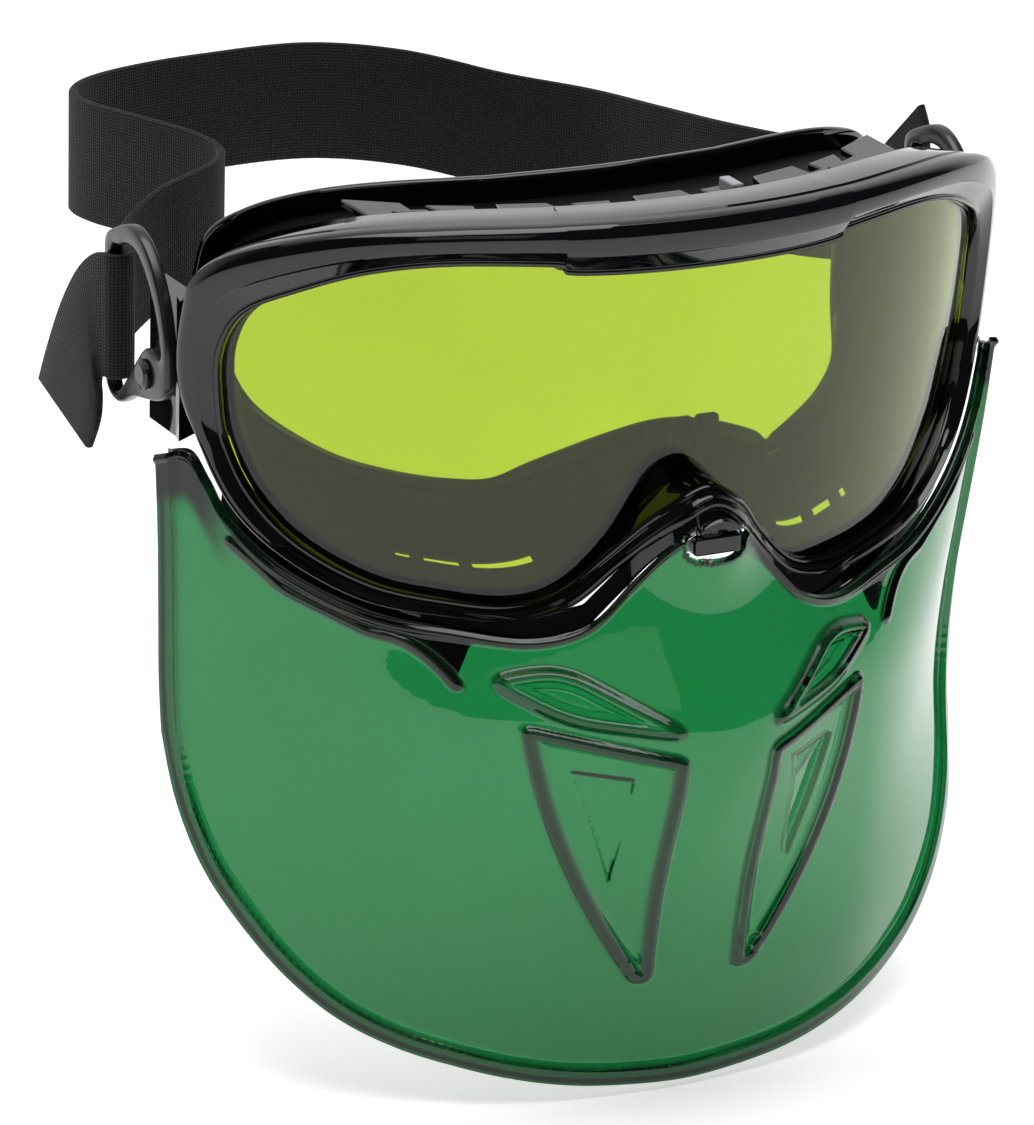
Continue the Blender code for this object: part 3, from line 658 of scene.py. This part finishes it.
def make_nose_flaps():
    """The soft comb over the bridge of the nose, its three flaps parted by two slits."""
    half_width, slit_x, slit_half = 7.5, 2.4, 0.5
    foot_z, root_z, tip_z = -15.2, -12.6, -6.4
    front_y, back_y = -31.6, -30.2
    outline = [(-half_width, foot_z), (half_width, foot_z), (half_width, tip_z)]
    for x in (slit_x, -slit_x):
        near, far = x + slit_half, x - slit_half
        outline += [(near, tip_z), (near, root_z), (far, root_z), (far, tip_z)]
    outline.append((-half_width, tip_z))
    outline = cut_corners(outline, 0.8)
    count = len(outline)
    points = [(x, y, z) for y in (front_y, back_y) for x, z in outline]
    faces = [tuple(range(count)), tuple(range(count, 2 * count))]
    faces += [(i, (i + 1) % count, (i + 1) % count + count, i + count) for i in range(count)]
    made = bevelled(mesh_object("nose_comb", points, faces, inner_black, smooth_deg=30.0), 0.2, 2)
    return finish_piece(made, "goggles", "soft_black", "nose_flaps")


def make_louvres(stations):
    """The plates under the eyecup that hide its slots from sparks, standing a little off it."""
    for side, name in ((-1, "right"), (1, "left")):
        sections = []
        for station in stations:
            if station.inner.y < -30.0 and 28.0 < side * station.inner.x < 60.0:
                front = station.at(1.3, BODY_FRONT)
                run = station.face_point(BODY_WALL) - front
                away = Vector((station.out.x, 0.0, station.out.y))
                corners = ((0.58, 1.0), (0.76, 1.0), (0.78, 1.6), (0.76, 2.3), (0.58, 2.3), (0.56, 1.6))
                sections.append([front + run * share + away * lift for share, lift in corners])
        made = ring_solid("louvre_" + name, sections, satin_black, closed=False)
        finish_piece(made, "goggles", "soft_black", "lower_vent_cover_" + name)


# ---------------------------------------------------------------- the shield


def segment_distance(x, z, line, closed):
    """How far each place (x, z) lies from a line of points, as an array."""
    ends = list(line[1:]) + ([line[0]] if closed else [])
    best = np.full(x.shape, 1e9)
    for (ax, az), (bx, bz) in zip(line, ends):
        dx, dz = bx - ax, bz - az
        share = np.clip(((x - ax) * dx + (z - az) * dz) / (dx * dx + dz * dz), 0.0, 1.0)
        best = np.minimum(best, np.hypot(x - ax - share * dx, z - az - share * dz))
    return best


def depth_inside(x, z, outline):
    """The distance to an outline, positive inside it."""
    inside = np.zeros(x.shape, bool)
    for (ax, az), (bx, bz) in zip(outline, list(outline[1:]) + [outline[0]]):
        crosses = (az > z) != (bz > z)
        where = ax + (bx - ax) * (z - az) / (bz - az if bz != az else 1e-9)
        inside ^= crosses & (x < where)
    gap = segment_distance(x, z, outline, closed=True)
    return np.where(inside, gap, -gap)


def table_value(knots, at):
    """The value at a height on a broken line of (height, value), its knees rounded by averaging."""
    places, values = [-knot[0] for knot in knots], [knot[1] for knot in knots]
    reach, count = 9.0, 13
    offsets = np.linspace(-reach, reach, count)
    weights = 1.0 - np.abs(offsets) / (reach * 1.08)
    total = sum(w * np.interp(-(at + d), places, values) for w, d in zip(weights, offsets))
    return total / weights.sum()


def shield_front(x, z):
    """Y of the shield's plain front face: the wrap, the nose bridge and the bulge before the mouth."""
    share = step(SIDE_FROM_X, SIDE_TO_X, np.abs(x))
    middle = table_value(SHIELD_MIDDLE, z)
    y = middle + (table_value(SHIELD_SIDE, z) - middle) * share
    y = y + WRAP_RADIUS - np.sqrt(WRAP_RADIUS**2 - x**2) - nose_rise(x, z)
    return y - SHIELD_BULGE * np.exp(-((x / 26.0) ** 2) - ((z - SHIELD_BULGE_Z) / 30.0) ** 2)


def cut_corners(outline, size, steps=4):
    """An outline with each corner replaced by a short curve."""
    made = []
    for i, corner in enumerate(outline):
        corner = Vector(corner)
        before, after = Vector(outline[i - 1]) - corner, Vector(outline[(i + 1) % len(outline)]) - corner
        start = corner + before.normalized() * min(size, before.length * 0.45)
        end = corner + after.normalized() * min(size, after.length * 0.45)
        for j in range(steps + 1):
            t = j / steps
            made.append(tuple(start * (1 - t) ** 2 + corner * 2 * t * (1 - t) + end * t**2))
    return made


def accent_rib():
    """The rib's middle line, worked out from the shield's top edge."""
    edge = sorted(top for top, _ in SHIELD_STATIONS)
    line = []
    for x in np.linspace(RIB_OUTER_X, RIB_INNER_X, 24):
        turn = max(0.0, (RIB_TURN_X - x) / (RIB_TURN_X - RIB_INNER_X))
        edge_z = np.interp(x, [p[0] for p in edge], [p[1] for p in edge])
        line.append((float(x), float(edge_z) - RIB_BELOW_EDGE - RIB_HOOK * turn**2))
    return line


def panel_outline():
    """The panel's outline: its outer side is bowed, and its corners are rounded."""
    foot_x = PANEL_NEAR_X + PANEL_FOOT_WIDTH
    bowed = []
    for t in np.linspace(0.0, 1.0, 9):
        x = foot_x + (PANEL_FAR_X - foot_x) * t + PANEL_BOW * 4 * t * (1 - t)
        bowed.append((float(x), float(PANEL_FOOT_Z + (PANEL_FAR_Z - PANEL_FOOT_Z) * t)))
    return cut_corners([(PANEL_NEAR_X, PANEL_NEAR_Z), (PANEL_NEAR_X, PANEL_FOOT_Z)] + bowed, PANEL_CORNER)


def nose_window():
    """A rounded slot, as a superellipse."""
    outline = []
    for i in range(48):
        angle = 2 * math.pi * i / 48
        across, up = math.cos(angle), math.sin(angle)
        outline.append((
            WINDOW_HALF_WIDTH * math.copysign(abs(across) ** 0.6, across),
            WINDOW_CENTRE_Z + WINDOW_HALF_HEIGHT * math.copysign(abs(up) ** 0.6, up),
        ))
    return outline


def shield_relief(x, z, from_top, from_rim):
    """How far the moulded features stand out from the plain face (negative is a recess)."""
    x = np.abs(x)
    relief = TOP_BEAD_HEIGHT * np.exp(-(((from_top - 1.0) / 0.75) ** 2))
    rib = segment_distance(x, z, accent_rib(), closed=False)
    relief += RIB_HEIGHT * np.exp(-((rib / 0.85) ** 2))
    scoop = depth_inside(x, z, cut_corners(SCOOP, 5.0))
    relief += SCOOP_LIP_HEIGHT * step(-1.6, 0.6, scoop)
    relief -= SCOOP_DEPTH * step(SCOOP_BORDER - 0.9, SCOOP_BORDER + 1.2, scoop)
    panel = depth_inside(x, z, panel_outline())
    relief += PANEL_LIP_HEIGHT * step(-0.7, 0.5, panel)
    relief -= PANEL_DEPTH * step(PANEL_BORDER - 1.1, PANEL_BORDER + 1.1, panel)
    wedge = depth_inside(x, z, WEDGE)
    outer_edge = segment_distance(x, z, (WEDGE[0], WEDGE[2]), closed=False)
    top_edge = segment_distance(x, z, WEDGE[:2], closed=False)
    near = np.minimum(outer_edge, top_edge * 1.4)
    relief -= np.where(wedge > 0, WEDGE_DEPTH * step(0.0, 0.7, near) * np.exp(-near / 5.5), 0.0)
    mark = np.hypot(x - MARK_X, z - MARK_Z)
    relief -= MARK_DEPTH * np.exp(-(((mark - MARK_RADIUS) / 0.3) ** 2))
    relief += HEM_HEIGHT * (1.0 - step(3.0, 4.4, from_rim))
    return relief


def painted_edge_shade(x, z, from_top, from_rim):
    """Painted shade where the clear plastic is steep or thick, from 0 in the plain sheet to 1 where it is
    darkest: the darkening that refraction and reflection of dark surroundings would give there.
    """
    x = np.abs(x)
    panel = depth_inside(x, z, panel_outline())
    scoop = depth_inside(x, z, cut_corners(SCOOP, 5.0))
    rib = segment_distance(x, z, accent_rib(), closed=False)
    border = step(-0.6, 0.1, panel) * (1.0 - step(PANEL_BORDER - 0.9, PANEL_BORDER + 0.2, panel))
    lip = step(-1.9, -0.9, scoop) * (1.0 - step(0.3, 1.3, scoop))
    bead = 1.0 - step(1.2, 2.2, from_top)
    hem = 0.55 * (1.0 - step(2.6, 3.6, from_rim))
    corner = step(80.0, 86.0, x) * (1.0 - step(8.0, 13.0, from_top))
    # Each part is painted shade: the panel borders, the scoop lips, the rib, the top bead, the hem and the
    # top outer corners.
    parts = (0.9 * border, 0.75 * lip, 1.0 - step(0.9, 1.7, rib), bead, hem, corner)
    return np.maximum.reduce(parts)


def make_shield():
    half = flat_rows(SHIELD_STATIONS)
    mirror = [(-r[0], r[1], -r[2], r[3], r[4]) for r in half[:0:-1]]
    columns = np.array(smooth_curve(mirror + half, SHIELD_COLUMN_SAMPLES))
    t = np.linspace(0.0, 1.0, SHIELD_ROWS + 1)[:, None]
    top_x, top_z, foot_x, foot_y, foot_z = columns.T
    x = top_x + (foot_x - top_x) * t
    z = top_z + (foot_z - top_z) * t
    window = nose_window()
    x, z = snap_to(x, z, window, 0.34)
    y = shield_front(x, z) + (foot_y - shield_front(foot_x, foot_z)) * t**2
    plain = np.stack([x, y, z], axis=-1)

    rim = np.concatenate([plain[:, 0], plain[-1], plain[::-1, -1]])
    from_rim = nearest(plain, rim[::3])
    from_top = np.linalg.norm(plain - plain[:1], axis=-1)
    normal = grid_normals(plain)
    radial = np.stack([x / WRAP_RADIUS, -np.sqrt(1.0 - (x / WRAP_RADIUS) ** 2), np.zeros_like(x)], axis=-1)
    side_share = step(72.0, 80.0, np.abs(x))[..., None]
    normal = normal * (1.0 - side_share) + radial * side_share
    normal /= np.linalg.norm(normal, axis=-1, keepdims=True)
    relief = shield_relief(x, z, from_top, from_rim)
    front = plain + normal * relief[..., None]
    thick = SHIELD_THICKNESS + 0.9 * (1.0 - step(0.0, 2.2, from_rim))
    thin = np.minimum(np.maximum(relief, -3.0), 3.0)
    thin = np.where(from_top < 3.0, 0.0, thin)
    rib = segment_distance(np.abs(x), z, accent_rib(), closed=False)
    thin = np.where(rib < 2.2, 0.0, thin)
    back = plain + normal * (thin * 0.9 - thick)[..., None]

    rows, cols = x.shape
    index = np.arange(rows * cols).reshape(rows, cols)
    a, b, c, d = index[:-1, :-1], index[:-1, 1:], index[1:, 1:], index[1:, :-1]
    cx = (x[:-1, :-1] + x[1:, 1:]) / 2
    cz = (z[:-1, :-1] + z[1:, 1:]) / 2
    keep = depth_inside(cx, cz, window) < 0
    quads = np.stack([a, d, c, b], axis=-1)[keep]
    # The painted shade on the shield's edges and features, one value per point.
    wall = painted_edge_shade(x, z, from_top, from_rim).reshape(-1)
    return shell("shield_shell", front.reshape(-1, 3), back.reshape(-1, 3), quads, shield_green, wall)


def snap_to(x, z, outline, reach):
    """Moves the grid places next to an outline onto it, so that a hole has a clean edge."""
    line = list(outline)
    best = np.full(x.shape, 1e9)
    new_x, new_z = x.copy(), z.copy()
    for (ax, az), (bx, bz) in zip(line, line[1:] + line[:1]):
        dx, dz = bx - ax, bz - az
        share = np.clip(((x - ax) * dx + (z - az) * dz) / (dx * dx + dz * dz), 0.0, 1.0)
        px, pz = ax + share * dx, az + share * dz
        gap = np.hypot(x - px, z - pz)
        closer = gap < best
        best = np.where(closer, gap, best)
        new_x = np.where(closer & (gap < reach), px, new_x)
        new_z = np.where(closer & (gap < reach), pz, new_z)
    return new_x, new_z


def nearest(grid, targets):
    """The distance from each grid point to the nearest of the targets."""
    best = np.full(grid.shape[:2], 1e9)
    for target in targets:
        best = np.minimum(best, np.linalg.norm(grid - target, axis=-1))
    return best


def grid_normals(grid):
    """Unit normals of a grid of points, pointing away from the face."""
    down = np.gradient(grid, axis=0)
    across = np.gradient(grid, axis=1)
    normal = np.cross(across, down)
    length = np.linalg.norm(normal, axis=-1, keepdims=True)
    normal = normal / np.maximum(length, 1e-9)
    flip = np.sign(-normal[..., 1:2])
    return normal * np.where(flip == 0, 1.0, flip)


def shell(name, front, back, quads, look, wall):
    """A wall between two copies of one set of faces, its free edges rounded; wall, the painted shade per
    point, goes with its points.
    """
    count = len(front)
    edges = np.concatenate([quads[:, [k, (k + 1) % 4]] for k in range(4)])
    key = np.sort(edges, axis=1)
    _, first, repeats = np.unique(key, axis=0, return_index=True, return_counts=True)
    border = edges[first[repeats == 1]]
    outward = np.zeros((count, 3))
    for start, end in border:
        along = front[end] - front[start]
        through = back[start] - front[start]
        away = np.cross(along, through)
        away /= max(np.linalg.norm(away), 1e-9)
        outward[start] += away
        outward[end] += away
    on_border = np.unique(border)
    outward[on_border] /= np.maximum(np.linalg.norm(outward[on_border], axis=1, keepdims=True), 1e-9)
    layers = []
    turns = (0.25, 0.5, 0.75)
    base = 2 * count
    for share in turns:
        reach = math.sin(math.pi * share) * 0.5
        across = 0.5 - 0.5 * math.cos(math.pi * share)
        thickness = np.linalg.norm(back[on_border] - front[on_border], axis=1, keepdims=True)
        layers.append(front[on_border] + (back[on_border] - front[on_border]) * across
                      + outward[on_border] * thickness * reach)
    place_of = {int(vertex): order for order, vertex in enumerate(on_border)}
    points = np.concatenate([front, back] + layers) * MM
    faces = [tuple(int(v) for v in q) for q in quads]
    faces += [tuple(int(v) + count for v in q[::-1]) for q in quads]
    def ring(vertex):
        """The points round the wall's edge at a border vertex, from its front to its back."""
        middle = [base + k * len(on_border) + place_of[vertex] for k in range(len(turns))]
        return [vertex, *middle, vertex + count]

    for start, end in border:
        here, there = ring(int(start)), ring(int(end))
        for k in range(len(here) - 1):
            faces.append((there[k], here[k], here[k + 1], there[k + 1]))
    used = np.unique(np.array([v for face in faces for v in face]))
    renumber = np.full(len(points), -1)
    renumber[used] = np.arange(len(used))
    mesh = bpy.data.meshes.new(name)
    mesh.from_pydata(points[used].tolist(), [], [tuple(int(renumber[v]) for v in face) for face in faces])
    # The painted shade per point, stored as the "wall" attribute that darkens the shield's tint.
    painted_shade_levels = np.concatenate([wall, wall] + [wall[on_border]] * len(turns))
    mesh.attributes.new("wall", "FLOAT", "POINT").data.foreach_set("value", painted_shade_levels[used].astype(np.float32))
    return link(name, mesh, look, smooth_deg=55.0)


def make_skirt():
    """The black lip of the frame that lies behind the shield's top, down to the accent ribs."""
    edge = sorted(top for top, _ in SHIELD_STATIONS)
    edge_x, edge_z = [p[0] for p in edge], [p[1] for p in edge]
    behind, thick = 3.4, 1.0
    sections = []
    for x in np.linspace(-84.0, 84.0, 421):
        side = abs(x)
        top_z = float(np.interp(side, edge_x, edge_z))
        deep = float(step(RIB_INNER_X - 5.0, RIB_INNER_X + 1.0, side))
        turn = max(0.0, (RIB_TURN_X - max(side, RIB_INNER_X)) / (RIB_TURN_X - RIB_INNER_X))
        drop = 1.8 + deep * (RIB_BELOW_EDGE + RIB_HOOK * turn**2 - 1.4)
        section = []
        for z, back in ((top_z + 2.2, 0.0), (top_z - drop, 0.0), (top_z - drop - 0.3, thick / 2),
                        (top_z - drop, thick), (top_z + 2.2, thick)):
            y = float(shield_front(np.array(x), np.array(z)))
            angle = math.asin(x / WRAP_RADIUS)
            reach = behind + back
            section.append((x - math.sin(angle) * reach, y + math.cos(angle) * reach, z))
        sections.append(section)
    made = ring_solid("frame_skirt", sections, gloss_black, closed=False, smooth_deg=50.0)
    return finish_piece(made, "goggles", "gloss_black")


# ---------------------------------------------------------------- the headband


def cut_hole(thing, place_x, radius):
    """Cuts a round hole along X through the pivot and keeps the result as the mesh."""
    points, faces, facets = [], [], 48
    for x in (place_x - 6, place_x + 6):
        for i in range(facets):
            angle = 2 * math.pi * i / facets
            points.append((x, PIVOT_Y + radius * math.cos(angle), PIVOT_Z + radius * math.sin(angle)))
    faces += [tuple(range(facets)), tuple(range(facets, 2 * facets))]
    faces += [(i, (i + 1) % facets, (i + 1) % facets + facets, i + facets) for i in range(facets)]
    cutter = mesh_object("cutter", points, faces, clip_black)
    cut = thing.modifiers.new("Hole", "BOOLEAN")
    cut.object = cutter
    cut.operation = "DIFFERENCE"
    bpy.context.view_layer.update()
    solved = thing.evaluated_get(bpy.context.evaluated_depsgraph_get())
    mesh = bpy.data.meshes.new_from_object(solved)
    thing.modifiers.clear()
    thing.data = mesh
    bpy.data.objects.remove(cutter, do_unlink=True)
    mesh.shade_smooth()
    mesh.set_sharp_from_angle(angle=math.radians(45.0))


def make_clip(name, side):
    """A hooked loop: the strap turns round its rear bar, and its boss swings on the peg."""
    low, high, soft = CLIP_IN_X, CLIP_IN_X + CLIP_THICKNESS, 0.6
    rows = [(*edge, *opening) for edge, opening in zip(CLIP_EDGE, CLIP_OPENING)]
    sections = []
    for edge_y, edge_z, open_y, open_z in smooth_curve(rows, 5, closed=True):
        edge, opening = Vector((edge_y, edge_z)), Vector((open_y, open_z))
        across = opening - edge
        inset = min(soft, across.length * 0.3) * across.normalized()
        outline = (
            (low, edge + inset), (low + soft * 0.3, edge + inset * 0.3), (low + soft, edge),
            (high - soft, edge), (high - soft * 0.3, edge + inset * 0.3), (high, edge + inset),
            (high, opening - inset), (high - soft * 0.3, opening - inset * 0.3), (high - soft, opening),
            (low + soft, opening), (low + soft * 0.3, opening - inset * 0.3), (low, opening - inset),
        )
        sections.append([(side * x, place.x, place.y) for x, place in outline])
    made = ring_solid(name, sections, clip_black, closed=True, smooth_deg=45.0)
    cut_hole(made, side * (low + high) / 2, PEG_RADIUS + PEG_FIT)
    return made


def make_strap():
    """One elastic band with rounded edges, from its left tail round the head to its right tail."""
    rows = smooth_curve([(*place, *width) for place, width in STRAP_ROUTE], 8)
    places = [Vector(row[:3]) for row in rows]
    half, thick = STRAP_WIDTH / 2, STRAP_THICKNESS / 2
    profile = [(half - 0.5, thick), (half - 0.1, thick * 0.6), (half, 0.0), (half - 0.1, -thick * 0.6)]
    profile += [(half - 0.5, -thick)] + [(half * k / 4, -thick) for k in (2, 0, -2)]
    profile += [(-half + 0.5, -thick), (-half + 0.1, -thick * 0.6), (-half, 0.0), (-half + 0.1, thick * 0.6)]
    profile += [(-half + 0.5, thick)] + [(half * k / 4, thick) for k in (-2, 0, 2)]
    sections, run = [], [0.0]
    for i, (place, row) in enumerate(zip(places, rows)):
        along = places[min(i + 1, len(places) - 1)] - places[max(i - 1, 0)]
        across = Vector(row[3:]).normalized()
        flat = along.cross(across).normalized()
        sections.append([place + across * w + flat * t for w, t in profile])
        if i:
            run.append(run[-1] + (place - places[i - 1]).length)
    made = ring_solid("headband_strap", sections, webbing, closed=False, smooth_deg=60.0)
    layer = made.data.uv_layers.new(name="weave")
    count = len(profile)
    for loop in made.data.loops:
        i, j = divmod(loop.vertex_index, count)
        layer.data[loop.index].uv = (run[i], profile[j][0])
    return finish_piece(made, "headband", "webbing", "strap")


# ---------------------------------------------------------------- the assembly

stations = rim_stations()
make_frame(stations)
make_lens(stations)
make_eyecup(stations)
make_flange(stations)
make_vent_shelf()
make_nose_flaps()
make_louvres(stations)
make_skirt()
for side, name in ((-1, "right"), (1, "left")):
    finish_piece(make_clip("clip_" + name, side), "headband", "clip_black", "strap_clip_" + name)
make_strap()
finish_piece(make_shield(), "shield", "shield_green", "face_shield")

CARRIED_OVER = (
    ("lens_gasket", inner_black), ("side_lug_left", gloss_black), ("side_lug_right", gloss_black),
    ("pivot_peg_left", gloss_black), ("pivot_peg_right", gloss_black), ("shield_latch", gloss_black),
    ("brow_catch", pale_plastic),
)
for node, look in CARRIED_OVER:
    for place in nodes[node].material_slots:
        place.material = look


# ---------------------------------------------------------------- the studio


def make_floor():
    """A wide pale disc that the shield's foot stands on."""
    floor_z, radius, facets = -0.1418, 1.6, 96
    turns = [2 * math.pi * i / facets for i in range(facets)]
    mesh = bpy.data.meshes.new("floor")
    mesh.from_pydata([(radius * math.cos(a), radius * math.sin(a), floor_z) for a in turns], [],
                     [tuple(range(facets))])
    look = bpy.data.materials.new("floor_white")
    look.use_nodes = True
    shader = look.node_tree.nodes["Principled BSDF"]
    shader.inputs["Base Color"].default_value = (0.93, 0.93, 0.93, 1.0)
    shader.inputs["Roughness"].default_value = 0.8
    shader.inputs["Emission Color"].default_value = (1.0, 1.0, 1.0, 1.0)
    shader.inputs["Emission Strength"].default_value = 0.40
    mesh.materials.append(look)
    floor = bpy.data.objects.new("floor", mesh)
    bpy.context.scene.collection.objects.link(floor)


def softbox(name, place, target, width, height, power):
    """A plain soft lamp that shines towards a point."""
    lamp = bpy.data.lights.new(name, "AREA")
    lamp.shape = "RECTANGLE"
    lamp.size, lamp.size_y = width, height
    lamp.energy = power
    made = bpy.data.objects.new(name, lamp)
    made.location = place
    made.rotation_euler = (Vector(target) - Vector(place)).to_track_quat("-Z", "Y").to_euler()
    bpy.context.scene.collection.objects.link(made)


def make_world():
    """White behind the object; for light and reflections, bright above and behind, dim in front."""
    world = bpy.data.worlds.new("studio")
    bpy.context.scene.world = world
    world.use_nodes = True
    tree = world.node_tree
    seen = tree.nodes["Background"]
    seen.inputs["Color"].default_value = (1.0, 1.0, 1.0, 1.0)
    room = tree.nodes.new("ShaderNodeBackground")
    place = tree.nodes.new("ShaderNodeTexCoord")
    parts = tree.nodes.new("ShaderNodeSeparateXYZ")
    tree.links.new(place.outputs["Generated"], parts.inputs["Vector"])
    above = remap(tree, parts.outputs["Z"], 0.86, 0.95, 0.0, 2.0)
    behind = remap(tree, parts.outputs["Y"], 0.1, 0.5, 0.06, 1.1)
    total = tree.nodes.new("ShaderNodeMath")
    total.operation = "MAXIMUM"
    tree.links.new(above, total.inputs[0])
    tree.links.new(behind, total.inputs[1])
    tree.links.new(total.outputs["Value"], room.inputs["Strength"])
    path = tree.nodes.new("ShaderNodeLightPath")
    either = tree.nodes.new("ShaderNodeMixShader")
    tree.links.new(path.outputs["Is Camera Ray"], either.inputs["Fac"])
    tree.links.new(room.outputs["Background"], either.inputs[1])
    tree.links.new(seen.outputs["Background"], either.inputs[2])
    tree.links.new(either.outputs["Shader"], tree.nodes["World Output"].inputs["Surface"])


def make_camera():
    azimuth, elevation, roll = (math.radians(a) for a in (VIEW_AZIMUTH, VIEW_ELEVATION, VIEW_ROLL))
    level_share = math.cos(elevation)
    back = Vector((
        math.sin(azimuth) * level_share, -math.cos(azimuth) * level_share, math.sin(elevation),
    ))
    level = Vector((math.cos(azimuth), math.sin(azimuth), 0.0))
    up = back.cross(level)
    right = level * math.cos(roll) + up * math.sin(roll)
    up = back.cross(right)
    camera = bpy.data.objects.new("camera", bpy.data.cameras.new("camera"))
    bpy.context.scene.collection.objects.link(camera)
    camera.matrix_world = Matrix((right, up, back)).transposed().to_4x4()
    camera.location = VIEW_TARGET + back * VIEW_DISTANCE
    camera.data.lens = LENS_MM
    camera.data.sensor_width = 36.0
    camera.data.clip_start = 0.05
    bpy.context.scene.camera = camera


# Plain display colours, without a film curve.
bpy.context.scene.view_settings.view_transform = "Standard"
make_floor()
softbox("overhead", (0.0, -0.1, 1.2), (0.0, 0.0, 0.0), 1.4, 1.0, 11.0)
softbox("front_fill", (-0.7, -1.3, 0.9), (0.0, 0.0, -0.05), 0.8, 0.8, 1.0)
make_world()
make_camera()
